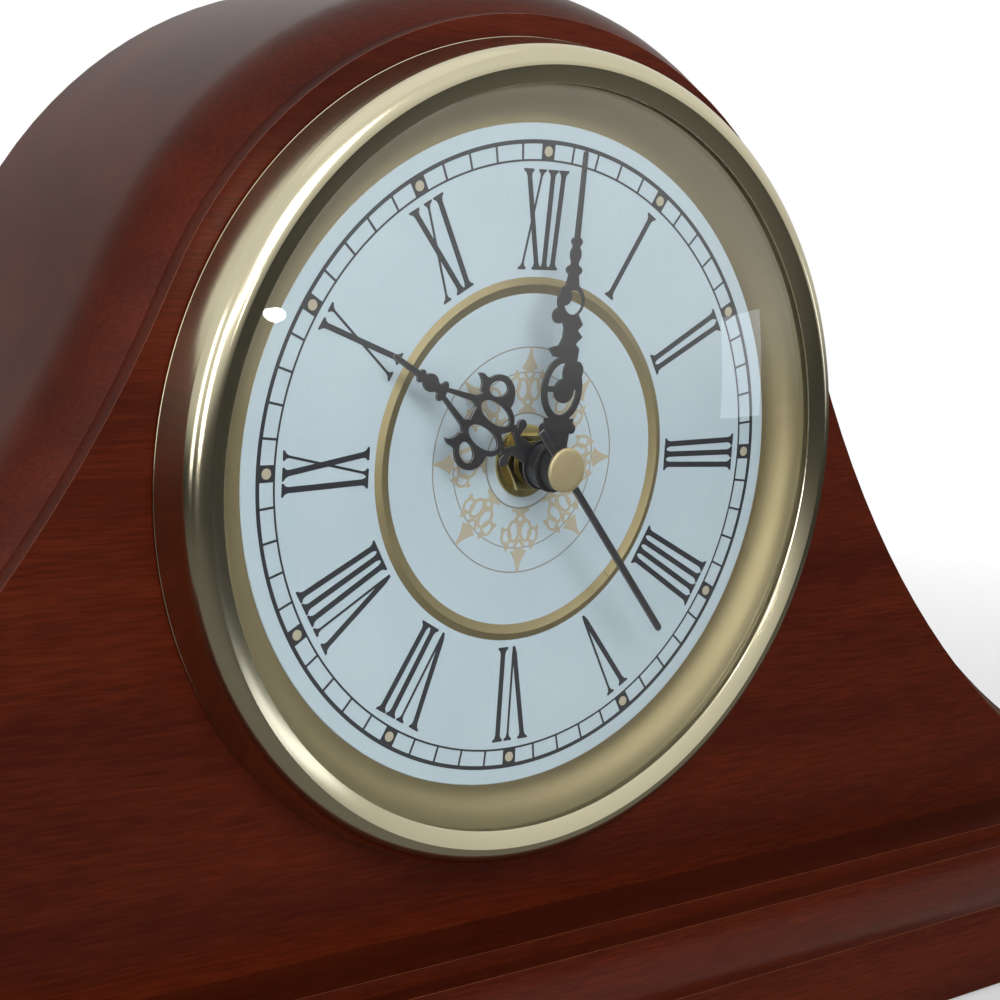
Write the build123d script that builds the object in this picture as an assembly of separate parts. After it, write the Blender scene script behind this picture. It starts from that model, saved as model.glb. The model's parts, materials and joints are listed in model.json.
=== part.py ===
from build123d import *
from math import acos, atan2, cos, hypot, pi, sin, sqrt, radians
import os

# Round-topped mantel clock with a battery quartz movement.
# Millimetres, +Z up, front towards -Y, origin under the middle of the base.
# Places written as (x, z) pairs are measured from the dial's centre, seen from the front.
# Depths written from the dial face grow towards the back.

# Case: a round arch over the dial that runs into two hollow shoulders
arch_radius = 92.5
shoulder_radius = 240.0
shoulder_end = 15.36
case_half_width = 190.0
case_depth = 73.3
dial_height = 95.1
front_thickness = 20.0
front_round = 16.8
front_step_inset = 6.6
front_step_lean = 0.3
shell_wall = 6.0
movement_bore = 50.0

# Base: a stepped board with a hollow moulding, a plinth and a felt sheet
ledge_proud = 14.2
ledge_height = 3.2
step_proud = 18.9
cove_radius = 9.8
plinth_height = 20.3
felt_thickness = 1.0
felt_inset = 3.0

# Back: a recessed panel, its blocks, and a hinged door
back_recess = 14.0
panel_thickness = 4.0
panel_gap = 0.3
block_depth = 12.0
block_length = 18.0
block_width = 36.0
batten_half_length = 120.0
door_width = 110.0
door_length = 100.0
door_centre_z = -10.0
door_gap = 0.6
door_corner = 3.0
hinge_spread = 60.0
hinge_length = 24.0
hinge_leaf_width = 14.0
hinge_leaf_sheet = 1.0
hinge_barrel = 2.0
hinge_pin_radius = 0.9
running_clearance = 0.05
hinge_clearance = 0.3
knob_radius = 6.0
knob_stem_radius = 2.2
knob_reach = 10.0
knob_neck = 3.3
knob_neck_radius = 3.6
knob_round = 2.5
knob_edge = 14.0
magnet_width = 8.0
magnet_length = 24.0
magnet_depth = 6.0
strike_sheet = 0.8

# Screws
panel_screw_radius = 1.5
panel_screw_length = 13.0
panel_screw_head = 3.0
panel_screw_head_height = 1.8
batten_screw_x = 100.0
shoulder_block_x = 128.0
base_screw_radius = 2.0
base_screw_bite = 18.0
base_screw_head = 4.0
base_screw_head_height = 2.5
base_screw_sink = 4.5
base_screw_front_x = 140.0
base_screw_back_x = 70.0
pan_screw_radius = 1.0
pan_screw_length = 9.0
pan_screw_head = 1.4
pan_screw_head_height = 0.9

# Dial: a pressed pan with a dished face, an applied ring, a convex glass and a spun bezel
dial_proud = 2.3
face_sheet = 0.3
face_radius = 65.3
face_hole = 4.1
face_flat_edge = 3.3
dish_depth = 1.3
dish_floor_radius = 24.0
dial_ring_inner = 32.85
dial_ring_inner_slope = 1.8
dial_ring_outer_slope = 1.4
dial_ring_height = 0.5
dial_ring_joint = 0.1
dial_ring_joint_angle = 136.0
pan_sheet = 0.5
pan_flat_radius = 66.0
pan_wall_lean = 6.6
pan_rim_radius = 76.5
flange_under_bezel = 0.15
glass_seat = 5.1
glass_radius = 74.4
glass_curve = 260.0
glass_sheet = 1.2
gasket_width = 1.4
bezel_sheet = 0.6
bezel_foot_radius = 81.4
bezel_shoulder = 4.0
bezel_shoulder_radius = 80.1
bezel_shoulder_height = 4.8
bezel_lip_radius = 72.8
bezel_lip_height = 7.5

# Movement housing
housing_top = 22.0
housing_split = 8.0
housing_wall = 1.5
train_foot = -14.7
bay_floor_wall = 1.2
bay_divider = 2.5
battery_room = 0.65
battery_sink = 1.2
contact_reach = 1.25
pivot_sink = 0.7
pivot_hole = 0.8
post_radius = 1.3

# Threaded bush and what clamps the movement to the dial
bush_radius = 4.0
bush_flange_radius = 6.0
bush_flange = 1.0
bush_tip = 0.6
rubber_washer_radius = 9.0
rubber_washer_sheet = 1.0
brass_washer_radius = 7.25
brass_washer_sheet = 0.5
nut_across_flats = 11.0
nut_height = 2.0

# Arbors and pipes
second_arbor_radius = 0.55
minute_pipe_radius = 1.2
hour_pipe_radius = 2.0
arbor_radius = 0.5
setting_arbor_radius = 0.8

# Gear train, as teeth and centre distances
gear_sheet = 0.8
pinion_overlap = 0.2
level_step = 1.7
level_start = 0.3
cannon_teeth = 12
motion_teeth = 36
motion_pinion_teeth = 10
hour_teeth = 40
motion_distance = 7.2
second_pinion_teeth = 8
third_teeth = 60
third_pinion_teeth = 8
centre_teeth = 64
third_distance = 8.5
second_teeth = 60
link_pinion_teeth = 10
link_distance = 8.75
link_teeth = 40
rotor_teeth = 8
rotor_distance = 7.2
setting_teeth = 12
tooth_addendum = 0.8
tooth_dedendum = 1.15
tooth_tip_share = 0.14
tooth_root_share = 0.46

# Motor, circuit and battery
magnet_radius = 2.4
rotor_magnet_length = 2.0
rotor_magnet_start = 8.0
stator_hole = 3.0
stator_sheet = 0.8
stator_start = 8.6
stator_left = 11.5
stator_edge = 1.0
stator_foot = -5.0
stator_top = 18.5
stator_leg = 2.5
window_foot = 6.0
coil_radius = 3.2
coil_gap = 0.4
core_height = 2.0
core_z = 13.0
board_edge = 1.0
board_right = -10.5
board_foot = 8.0
board_top = 19.0
board_start = 8.0
board_sheet = 0.8
chip_radius = 2.5
chip_height = 0.9
chip_edge = 1.3
crystal_radius = 1.0
crystal_length = 6.0
battery_radius = 7.15
battery_length = 49.5
battery_nub_radius = 2.75
battery_nub = 1.0
contact_sheet = 0.3
contact_width = 8.0
setting_knob_radius = 6.5
setting_knob_height = 4.5
setting_knob_gap = 0.4
setting_groove = 0.65
setting_grooves = 24

# Hands, with heights above the dial face
hand_sheet = 0.5
hour_height = 4.5
minute_height = 8.0
second_height = 11.0
cap_height = 12.0
cap_sheet = 0.7
cap_radius = 4.4
cap_round = 0.3
hub_radius = 4.9
hour_length = 42.7
hour_tip = 0.5
minute_length = 60.45
minute_tip = 0.45
second_length = 44.6
second_tail = 9.9
second_tip = 0.75
hand_collar = 1.6
collar_wall = 1.3
hand_gap = 0.4
minute_drum_radius = 4.5
second_drum_radius = 4.2
minute_angle = 2.6
hour_angle = 300.0 + minute_angle / 12
second_angle = 140.0

# Places that follow from the sizes above
plinth_proud = step_proud + cove_radius
base_depth = plinth_proud + case_depth
base_half_width = case_half_width + plinth_proud
front_y = -base_depth / 2
back_y = base_depth / 2
wood_y = front_y + plinth_proud
dial_y = wood_y - dial_proud
cap_back_y = dial_y - cap_height + cap_sheet
board_back_y = wood_y + front_thickness
plinth_top = felt_thickness + plinth_height
base_top = plinth_top + cove_radius + ledge_height
dial_z = base_top + dial_height
panel_back_y = back_y - back_recess
panel_front_y = panel_back_y - panel_thickness
face_centre_y = dial_y + dish_depth
dish_rim_radius = face_radius - face_flat_edge
pan_flange_radius = bezel_foot_radius - bezel_sheet + flange_under_bezel
pan_back_y = face_centre_y + face_sheet + pan_sheet
bay_half_length = (battery_length + battery_nub) / 2 + contact_reach
bay_top = train_foot - bay_divider
bay_foot = bay_top - 2 * (battery_radius + battery_room)
bay_middle = (bay_foot + bay_top) / 2
stator_right = bay_half_length - stator_edge
board_left = board_edge - bay_half_length
housing_half_width = bay_half_length + housing_wall
housing_bottom = bay_foot - bay_floor_wall
housing_depth = housing_wall + 2 * battery_radius + battery_sink
housing_y = pan_back_y + rubber_washer_sheet
housing_back_y = housing_y + housing_depth

# The hollow shoulder touches the arch and ends on the case's end wall.
# Its centre lies at a known distance from the dial's centre and from that end.
shoulder_distance = arch_radius + shoulder_radius
end_distance = hypot(case_half_width, shoulder_end - dial_height)
end_slope = atan2(shoulder_end - dial_height, case_half_width)
along_end = (shoulder_distance ** 2 - shoulder_radius ** 2 + end_distance ** 2) / (2 * end_distance)
shoulder_angle = end_slope + atan2(sqrt(shoulder_distance ** 2 - along_end ** 2), along_end)
shoulder_centre_x = shoulder_distance * cos(shoulder_angle)
shoulder_centre_z = shoulder_distance * sin(shoulder_angle)


def front_plane(y):
    """Drawing plane at depth y, with x to the right and y up, seen from the front."""
    return Plane(origin=(0, y, dial_z), x_dir=(1, 0, 0), z_dir=(0, -1, 0))


def slab(drawing, y_front, y_back):
    """A flat drawing given thickness between two depths."""
    return extrude(front_plane(y_back) * drawing, amount=y_back - y_front)


def disc(radius, y_front, y_back, at=(0, 0)):
    return slab(Pos(*at) * Circle(radius), y_front, y_back)


def ring(outer, inner, y_front, y_back, at=(0, 0)):
    return slab(Pos(*at) * (Circle(outer) - Circle(inner)), y_front, y_back)


def bar(x0, x1, z0, z1, y_front, y_back):
    """A rectangular block, with x and z measured from the dial's centre."""
    drawing = Pos((x0 + x1) / 2, (z0 + z1) / 2) * Rectangle(x1 - x0, z1 - z0)
    return slab(drawing, y_front, y_back)


def turned(outline):
    """A closed outline of (radius, depth from the dial face) turned about the dial's axis."""
    plane = Plane(origin=(0, dial_y, dial_z), x_dir=(1, 0, 0), z_dir=(0, 0, 1))
    return revolve(plane * make_face(outline), Axis((0, 0, dial_z), (0, 1, 0)), 360)


def around(distance, angle):
    """The place at a clockwise angle from the top, at a distance from the dial's centre."""
    return distance * sin(radians(angle)), distance * cos(radians(angle))


def shoulder_height(x, inset):
    """How high the hollow shoulder stands at x, for an outline drawn in by inset."""
    hollow = shoulder_radius + inset
    return shoulder_centre_z - sqrt(hollow ** 2 - (shoulder_centre_x - abs(x)) ** 2)


def case_outline(inset, end_inset, foot=0.0):
    """The case's front outline drawn in by inset, with its foot lowered by foot."""
    arch = arch_radius - inset
    end_x = case_half_width - end_inset
    end_z = shoulder_height(end_x, inset)
    join = (arch * cos(shoulder_angle), arch * sin(shoulder_angle))
    mid_x = (join[0] + end_x) / 2
    mid = (mid_x, shoulder_height(mid_x, inset))
    foot_z = -dial_height - foot
    return make_face([
        Line((-end_x, foot_z), (end_x, foot_z)),
        Line((end_x, foot_z), (end_x, end_z)),
        ThreePointArc((end_x, end_z), mid, join),
        ThreePointArc(join, (0, arch), (-join[0], join[1])),
        ThreePointArc((-join[0], join[1]), (-mid[0], mid[1]), (-end_x, end_z)),
        Line((-end_x, end_z), (-end_x, foot_z)),
    ])


# Case and base

def base_screw_places():
    """The (x, y) places of the screws that hold the base to the case."""
    front_row = wood_y + front_thickness / 2
    back_row = panel_front_y - block_length / 2
    places = [(side * base_screw_front_x, front_row) for side in (-1, 1)]
    return places + [(side * base_screw_back_x, back_row) for side in (-1, 1)]


def base_screw_hole(place, radius, z0, z1):
    return Pos(place[0], place[1], (z0 + z1) / 2) * Cylinder(radius, z1 - z0)


def base_screw_tip():
    return base_top + base_screw_bite


def drill_for_base_screws(solid):
    for place in base_screw_places():
        solid -= base_screw_hole(place, base_screw_radius, 0, base_screw_tip())
    return solid


def make_front_board():
    board = slab(case_outline(0, 0), wood_y, board_back_y)
    on_front = board.edges().filter_by(lambda e: abs(e.center().Y - wood_y) < 0.001)
    board = fillet(on_front.filter_by(GeomType.CIRCLE), front_round)
    raised = slab(case_outline(front_step_inset, 0), wood_y, board_back_y)
    rise = front_round - sqrt(front_step_inset * (2 * front_round - front_step_inset))
    edges = raised.edges().filter_by(lambda e: abs(e.center().Y - wood_y) < 0.001)
    side = raised.faces().filter_by(lambda f: abs(f.center().Y - wood_y) < 0.001)[0]
    board += chamfer(edges.filter_by(GeomType.CIRCLE), front_step_lean, rise, reference=side)
    board -= disc(movement_bore, wood_y, board_back_y)
    for place in pan_screw_places():
        board -= disc(pan_screw_radius, wood_y, wood_y + pan_screw_length, place)
    return drill_for_base_screws(board)


def make_case_shell():
    drawing = case_outline(0, 0) - case_outline(shell_wall, shell_wall, foot=shell_wall)
    return slab(drawing, board_back_y, back_y)


def edge_profile(wood_edge):
    """Points and arc of the base board's moulded edge, outwards from the wood above it."""
    ledge_z = base_top - ledge_height
    dip = cove_radius * sin(radians(45))
    outer = wood_edge + plinth_proud
    cove_mid = (outer - dip, ledge_z - dip)
    return ledge_z, outer, cove_mid


def make_base_moulding():
    ledge_z, out_y, mid = edge_profile(-wood_y)
    front = make_face([
        Polyline((back_y, plinth_top), (back_y, base_top), (wood_y - ledge_proud, base_top),
                 (wood_y - ledge_proud, ledge_z), (wood_y - step_proud, ledge_z)),
        ThreePointArc((wood_y - step_proud, ledge_z), (-mid[0], mid[1]), (-out_y, plinth_top)),
        Line((-out_y, plinth_top), (back_y, plinth_top)),
    ])
    ledge_z, out_x, mid = edge_profile(case_half_width)
    ledge_x = case_half_width + ledge_proud
    step_x = case_half_width + step_proud
    ends = make_face([
        Polyline((step_x, ledge_z), (ledge_x, ledge_z), (ledge_x, base_top), (-ledge_x, base_top),
                 (-ledge_x, ledge_z), (-step_x, ledge_z)),
        ThreePointArc((-step_x, ledge_z), (-mid[0], mid[1]), (-out_x, plinth_top)),
        Line((-out_x, plinth_top), (out_x, plinth_top)),
        ThreePointArc((out_x, plinth_top), mid, (step_x, ledge_z)),
    ])
    board = extrude(Plane.YZ * front, amount=base_half_width, both=True)
    board &= extrude(Plane.XZ * ends, amount=base_depth, both=True)
    return drill_for_base_screws(board)


def make_base_plinth():
    middle = (felt_thickness + plinth_top) / 2
    plinth = Pos(0, 0, middle) * Box(2 * base_half_width, base_depth, plinth_height)
    for place in base_screw_places():
        plinth -= base_screw_hole(place, base_screw_head, 0, felt_thickness + base_screw_sink)
    return drill_for_base_screws(plinth)


def make_felt_sheet():
    width = 2 * (base_half_width - felt_inset)
    return Pos(0, 0, felt_thickness / 2) * Box(width, base_depth - 2 * felt_inset, felt_thickness)


def make_base_screws():
    head_z = felt_thickness + base_screw_sink
    screws = []
    for place in base_screw_places():
        shank = base_screw_hole(place, base_screw_radius, head_z, base_screw_tip())
        head = base_screw_hole(place, base_screw_head, head_z - base_screw_head_height, head_z)
        screws.append(shank + head)
    return Compound(children=screws)


# Back panel, blocks and door

def panel_screw_places():
    """The (x, z) places of the back panel's screws."""
    batten_z = -dial_height + block_depth / 2
    middle = shell_wall + block_depth / 2
    shoulder = shoulder_height(shoulder_block_x, middle)
    places = [(side * batten_screw_x, batten_z) for side in (-1, 1)]
    places += [(side * shoulder_block_x, shoulder) for side in (-1, 1)]
    return places + [(0, arch_radius - middle)]


def drill_for_panel_screws(solid):
    tip = panel_back_y - panel_screw_length
    for place in panel_screw_places():
        solid -= disc(panel_screw_radius, tip, panel_back_y, place)
    return solid


def make_panel_blocks():
    """Blocks glued under the shell at the top and on both shoulders."""
    inner = case_outline(shell_wall + block_depth, 0, foot=block_depth)
    lining = case_outline(shell_wall, shell_wall) - inner
    tall = 2 * (arch_radius + dial_height)
    blocks = []
    for x in (-shoulder_block_x, 0, shoulder_block_x):
        piece = lining & (Pos(x, 0) * Rectangle(block_width, tall))
        block = slab(piece, panel_front_y - block_length, panel_front_y)
        blocks.append(drill_for_panel_screws(block))
    return Compound(children=blocks)


def make_bottom_batten():
    foot = -dial_height
    batten = bar(-batten_half_length, batten_half_length, foot, foot + block_depth,
                 panel_front_y - block_length, panel_front_y)
    return drill_for_base_screws(drill_for_panel_screws(batten))


def door_drawing(grow):
    width = door_width + 2 * grow
    length = door_length + 2 * grow
    return Pos(0, door_centre_z) * RectangleRounded(width, length, door_corner + grow)


def make_back_panel():
    drawing = case_outline(shell_wall + panel_gap, shell_wall + panel_gap) - door_drawing(door_gap)
    return drill_for_panel_screws(slab(drawing, panel_front_y, panel_back_y))


def make_panel_screws():
    screws = []
    for place in panel_screw_places():
        shank = disc(panel_screw_radius, panel_back_y - panel_screw_length, panel_back_y, place)
        head = disc(panel_screw_head, panel_back_y, panel_back_y + panel_screw_head_height, place)
        screws.append(shank + head)
    return Compound(children=screws)


hinge_x = -door_width / 2 - door_gap / 2
hinge_y = panel_back_y + hinge_barrel + running_clearance


def hinge_tube(z0, z1, radius):
    return Pos(hinge_x, hinge_y, dial_z + (z0 + z1) / 2) * Cylinder(radius, z1 - z0)


def hinge_middles():
    return [door_centre_z - hinge_spread / 2, door_centre_z + hinge_spread / 2]


def hinge_leaf(z, side, spans):
    """One leaf with the knuckles in spans, of which each is a pair of heights about z."""
    near = hinge_x + side * (hinge_barrel + hinge_clearance)
    far = hinge_x + side * (hinge_barrel + hinge_leaf_width)
    half = hinge_length / 2
    leaf_back = panel_back_y + hinge_leaf_sheet
    leaf = bar(min(near, far), max(near, far), z - half, z + half, panel_back_y, leaf_back)
    for low, high in spans:
        x0 = min(hinge_x, near)
        x1 = max(hinge_x, near)
        leaf += bar(x0, x1, z + low, z + high, panel_back_y, leaf_back)
        leaf += hinge_tube(z + low, z + high, hinge_barrel)
    return leaf


def make_hinge_leaves_fixed():
    half = hinge_length / 2
    half_middle = hinge_length / 6
    spans = [(-half, -half_middle), (half_middle, half)]
    leaves = []
    for z in hinge_middles():
        leaf = hinge_leaf(z, -1, spans)
        leaves.append(leaf - hinge_tube(z - hinge_length, z + hinge_length, hinge_pin_radius))
    return Compound(children=leaves)


def make_hinge_leaves_door():
    half_middle = hinge_length / 6 - hinge_clearance
    hole = hinge_pin_radius + running_clearance
    leaves = []
    for z in hinge_middles():
        leaf = hinge_leaf(z, 1, [(-half_middle, half_middle)])
        leaves.append(leaf - hinge_tube(z - hinge_length, z + hinge_length, hole))
    return Compound(children=leaves)


def make_hinge_pins():
    half = hinge_length / 2
    pins = [hinge_tube(z - half, z + half, hinge_pin_radius) for z in hinge_middles()]
    return Compound(children=pins)


def door_knob_place():
    return door_width / 2 - knob_edge, door_centre_z


def strike_drawing():
    x = door_width / 2 - magnet_width / 2
    return Pos(x, door_centre_z) * Rectangle(magnet_width, magnet_length)


def make_rear_door():
    door = slab(door_drawing(0), panel_front_y, panel_back_y)
    door -= disc(knob_stem_radius, panel_front_y, panel_back_y, door_knob_place())
    return door - slab(strike_drawing(), panel_front_y, panel_front_y + strike_sheet)


def make_strike_plate():
    return slab(strike_drawing(), panel_front_y, panel_front_y + strike_sheet)


def make_door_knob():
    place = door_knob_place()
    neck = panel_back_y + knob_neck
    knob = disc(knob_stem_radius, panel_front_y, panel_back_y, place)
    knob += disc(knob_neck_radius, panel_back_y, neck, place)
    head = disc(knob_radius, neck, panel_back_y + knob_reach, place)
    head = fillet(head.edges().filter_by(GeomType.CIRCLE), knob_round)
    return knob + head


def make_magnet_catch():
    x0 = door_width / 2 - magnet_width
    x1 = door_width / 2 + door_gap + magnet_width
    z0 = door_centre_z - magnet_length / 2
    z1 = door_centre_z + magnet_length / 2
    return bar(x0, x1, z0, z1, panel_front_y - magnet_depth, panel_front_y)


# Dial, glass and bezel

def make_dial_face():
    front = [(face_hole, dish_depth), (dish_floor_radius, dish_depth),
             (dish_rim_radius, 0), (face_radius, 0)]
    back = [(r, y + face_sheet) for r, y in reversed(front)]
    return turned(Polyline(*front, *back, close=True))


def dish_slope_depth(radius):
    """Depth of the dished face behind its rim, where it slopes."""
    return dish_depth * (dish_rim_radius - radius) / (dish_rim_radius - dish_floor_radius)


def make_dial_ring():
    """A ridged strip bent to a ring, with its joint left open a hair."""
    crest = dial_ring_inner + dial_ring_inner_slope
    outer = crest + dial_ring_outer_slope
    bent = turned(Polyline(
        (dial_ring_inner, dish_slope_depth(dial_ring_inner)),
        (crest, dish_slope_depth(crest) - dial_ring_height),
        (outer, dish_slope_depth(outer)), close=True))
    joint = Pos(0, crest) * Rectangle(dial_ring_joint, 2 * (outer - dial_ring_inner))
    front = dial_y + dish_slope_depth(outer) - 2 * dial_ring_height
    return bent - slab(Rot(0, 0, -dial_ring_joint_angle) * joint, front, face_centre_y)


def pan_screw_places():
    middle = (pan_rim_radius + pan_flange_radius) / 2
    return [around(middle, angle) for angle in (45, 135, 225, 315)]


def make_dial_pan():
    flat = face_sheet
    deep = dish_depth + face_sheet
    rise = flat + glass_seat
    cove = (rise ** 2 + pan_wall_lean ** 2) / (2 * rise)
    cove_end = 2 * atan2(rise, pan_wall_lean)
    back_cove = cove + pan_sheet
    back_end = acos((cove - rise + pan_sheet) / back_cove)

    def on_cove(radius, turn):
        return pan_flat_radius + radius * sin(turn), flat - cove + radius * cos(turn)

    front_cove = [on_cove(cove, cove_end * share) for share in (0, 0.5, 1)]
    rear_cove = [on_cove(back_cove, back_end * share) for share in (1, 0.5, 0)]
    pan = turned([
        Polyline((face_hole, deep), (dish_floor_radius, deep), (dish_rim_radius, flat),
                 front_cove[0]),
        ThreePointArc(*front_cove),
        Polyline(front_cove[2], (pan_rim_radius, -glass_seat), (pan_rim_radius, dial_proud - pan_sheet),
                 (pan_flange_radius, dial_proud - pan_sheet), (pan_flange_radius, dial_proud),
                 (pan_rim_radius - pan_sheet, dial_proud),
                 (pan_rim_radius - pan_sheet, pan_sheet - glass_seat), rear_cove[0]),
        ThreePointArc(*rear_cove),
        Polyline(rear_cove[2], (dish_rim_radius, flat + pan_sheet),
                 (dish_floor_radius, deep + pan_sheet), (face_hole, deep + pan_sheet), (face_hole, deep)),
    ])
    for place in pan_screw_places():
        pan -= disc(pan_screw_radius, wood_y - pan_sheet, wood_y, place)
    return pan


def make_pan_screws():
    seat = wood_y - pan_sheet
    screws = []
    for place in pan_screw_places():
        shank = disc(pan_screw_radius, seat, wood_y + pan_screw_length, place)
        screws.append(shank + disc(pan_screw_head, seat - pan_screw_head_height, seat, place))
    return Compound(children=screws)


def glass_depth(radius, curve):
    """Depth of a glass surface of the given curve at a radius, with the back edge on its seat."""
    centre = sqrt((glass_curve - glass_sheet) ** 2 - glass_radius ** 2) - glass_seat
    return centre - sqrt(curve ** 2 - radius ** 2)


def make_glass():
    inner = glass_curve - glass_sheet
    half = glass_radius / 2
    front_edge = (glass_radius, glass_depth(glass_radius, glass_curve))
    back_edge = (glass_radius, glass_depth(glass_radius, inner))
    front_apex = (0, glass_depth(0, glass_curve))
    back_apex = (0, glass_depth(0, inner))
    return turned([
        ThreePointArc(front_apex, (half, glass_depth(half, glass_curve)), front_edge),
        Line(front_edge, back_edge),
        ThreePointArc(back_edge, (half, glass_depth(half, inner)), back_apex),
        Line(back_apex, front_apex),
    ])


def make_glass_gasket():
    inner = glass_radius + running_clearance
    front = dial_y + glass_depth(glass_radius, glass_curve)
    return ring(inner + gasket_width, inner, front, dial_y - glass_seat)


def make_bezel():
    dip = sin(radians(45))
    centre = bezel_shoulder_radius - bezel_shoulder
    inside = bezel_shoulder - bezel_sheet
    crest = bezel_shoulder_height + bezel_shoulder
    seat = dial_proud - pan_sheet
    foot = (bezel_foot_radius, seat)
    shoulder = (bezel_shoulder_radius, -bezel_shoulder_height)
    inner_shoulder = (bezel_shoulder_radius - bezel_sheet, -bezel_shoulder_height)
    lip = (bezel_lip_radius, -bezel_lip_height)
    inner_lip = (bezel_lip_radius, bezel_sheet - bezel_lip_height)
    outer_mid = (centre + bezel_shoulder * dip, -bezel_shoulder_height - bezel_shoulder * dip)
    inner_mid = (centre + inside * dip, -bezel_shoulder_height - inside * dip)
    inner_foot = (bezel_foot_radius - bezel_sheet, seat)
    return turned([
        Line(foot, shoulder),
        ThreePointArc(shoulder, outer_mid, (centre, -crest)),
        Polyline((centre, -crest), lip, inner_lip, (centre, bezel_sheet - crest)),
        ThreePointArc((centre, bezel_sheet - crest), inner_mid, inner_shoulder),
        Polyline(inner_shoulder, inner_foot, foot),
    ])


# Movement: depths inside it are measured from the housing's front

def at_depth(depth):
    return housing_y + depth


def level(number):
    """Depth of the front of a wheel on one of the levels of the train."""
    return housing_y + housing_wall + bush_flange + level_start + number * level_step


train_front = at_depth(housing_wall)
train_back = at_depth(housing_depth - housing_wall)
motion_place = (-motion_distance, 0)
third_place = (0, third_distance)
link_place = (link_distance, 0)
rotor_place = (link_distance + rotor_distance, 0)
motion_module = 2 * motion_distance / (cannon_teeth + motion_teeth)
hour_module = 2 * motion_distance / (motion_pinion_teeth + hour_teeth)
third_module = 2 * third_distance / (second_pinion_teeth + third_teeth)
centre_module = 2 * third_distance / (third_pinion_teeth + centre_teeth)
second_module = 2 * link_distance / (link_pinion_teeth + second_teeth)
rotor_module = 2 * rotor_distance / (rotor_teeth + link_teeth)
setting_place = (-motion_distance - motion_module * (motion_teeth + setting_teeth) / 2, 0)
stator_posts = [(stator_right - stator_leg / 2, stator_foot + stator_leg / 2),
                (stator_left + stator_leg / 2, stator_top - stator_leg / 2)]
board_posts = [(board_left + 2 * post_radius, (board_foot + board_top) / 2),
               (board_right - 2 * post_radius, (board_foot + board_top) / 2)]


def gear_outline(teeth, module, phase):
    """Straight-sided teeth, the first one centred on the phase angle."""
    pitch = 2 * pi / teeth
    tip = module * (teeth / 2 + tooth_addendum)
    root = module * (teeth / 2 - tooth_dedendum)
    root_half = tooth_root_share * pitch / 2
    tip_half = tooth_tip_share * pitch / 2
    corners = [(-root_half, root), (-tip_half, tip), (tip_half, tip), (root_half, root)]
    points = []
    for tooth in range(teeth):
        middle = radians(phase) + tooth * pitch
        for offset, radius in corners:
            points.append((radius * cos(middle + offset), radius * sin(middle + offset)))
    return make_face(Polyline(*points, close=True))


def wheel(teeth, module, number, at, towards):
    """A wheel on one level, with a tooth at the angle towards its pinion."""
    drawing = Pos(*at) * gear_outline(teeth, module, towards)
    return slab(drawing, level(number), level(number) + gear_sheet)


def pinion(teeth, module, number, at, towards):
    """A pinion on one level, with a gap at the angle towards its wheel."""
    drawing = Pos(*at) * gear_outline(teeth, module, towards + 180 / teeth)
    front = level(number) - pinion_overlap
    return slab(drawing, front, front + gear_sheet + 2 * pinion_overlap)


def arbor(at, radius=arbor_radius):
    return disc(radius, train_front - pivot_sink, train_back + pivot_sink, at)


def housing_block(y_front, y_back):
    return bar(-housing_half_width, housing_half_width, housing_bottom, housing_top,
               y_front, y_back)


def train_room(y_front, y_back):
    return bar(-bay_half_length, bay_half_length, train_foot, housing_top - housing_wall,
               y_front, y_back)


def battery_bay(y_front, y_back):
    return bar(-bay_half_length, bay_half_length, bay_foot, bay_top, y_front, y_back)


def make_movement_front():
    split = at_depth(housing_split)
    shell = housing_block(housing_y, split) - train_room(train_front, split)
    shell -= battery_bay(train_front, split)
    shell -= disc(bush_radius, housing_y, train_front)
    shell += disc(arbor_radius, train_front, level(1) + gear_sheet, motion_place)
    for place in stator_posts:
        shell += disc(post_radius, train_front, at_depth(stator_start), place)
    for place in board_posts:
        shell += disc(post_radius, train_front, at_depth(board_start), place)
    for place in (third_place, link_place, rotor_place):
        shell -= disc(arbor_radius + running_clearance, train_front - pivot_hole, train_front, place)
    hole = setting_arbor_radius + running_clearance
    return shell - disc(hole, train_front - pivot_hole, train_front, setting_place)


def make_movement_cover():
    split = at_depth(housing_split)
    shell = housing_block(split, housing_back_y) - train_room(split, train_back)
    shell -= battery_bay(split, housing_back_y)
    for place in (third_place, link_place, rotor_place):
        shell -= disc(arbor_radius + running_clearance, train_back, train_back + pivot_hole, place)
    shell -= disc(second_arbor_radius + running_clearance, train_back, train_back + pivot_hole)
    hole = setting_arbor_radius + running_clearance
    return shell - disc(hole, train_back, housing_back_y, setting_place)


nut_back_y = face_centre_y - brass_washer_sheet
nut_front_y = nut_back_y - nut_height


def make_threaded_bush():
    hole = hour_pipe_radius + running_clearance
    bush = ring(bush_radius, hole, nut_front_y - bush_tip, train_front)
    return bush + ring(bush_flange_radius, hole, train_front, train_front + bush_flange)


def make_hex_nut():
    drawing = RegularPolygon(nut_across_flats / 2, 6, major_radius=False) - Circle(bush_radius)
    return slab(drawing, nut_front_y, nut_back_y)


def make_hour_wheel():
    back = level(0) + gear_sheet + pinion_overlap
    wheel_solid = wheel(hour_teeth, hour_module, 0, (0, 0), 180)
    wheel_solid += disc(hour_pipe_radius, dial_y - hour_height, back)
    return wheel_solid - disc(minute_pipe_radius + running_clearance, dial_y - hour_height, back)


def make_motion_wheel():
    solid = wheel(motion_teeth, motion_module, 1, motion_place, 0)
    solid += pinion(motion_pinion_teeth, hour_module, 0, motion_place, 0)
    solid += disc(arbor_radius * 2, level(0), level(1), motion_place)
    bore = arbor_radius + running_clearance
    return solid - disc(bore, train_front, level(2), motion_place)


def make_cannon_pinion():
    front = dial_y - minute_height
    back = level(2) + gear_sheet + pinion_overlap
    solid = pinion(cannon_teeth, motion_module, 1, (0, 0), 180)
    solid += disc(minute_pipe_radius, front, back)
    return solid - disc(second_arbor_radius + running_clearance, front, back)


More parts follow.
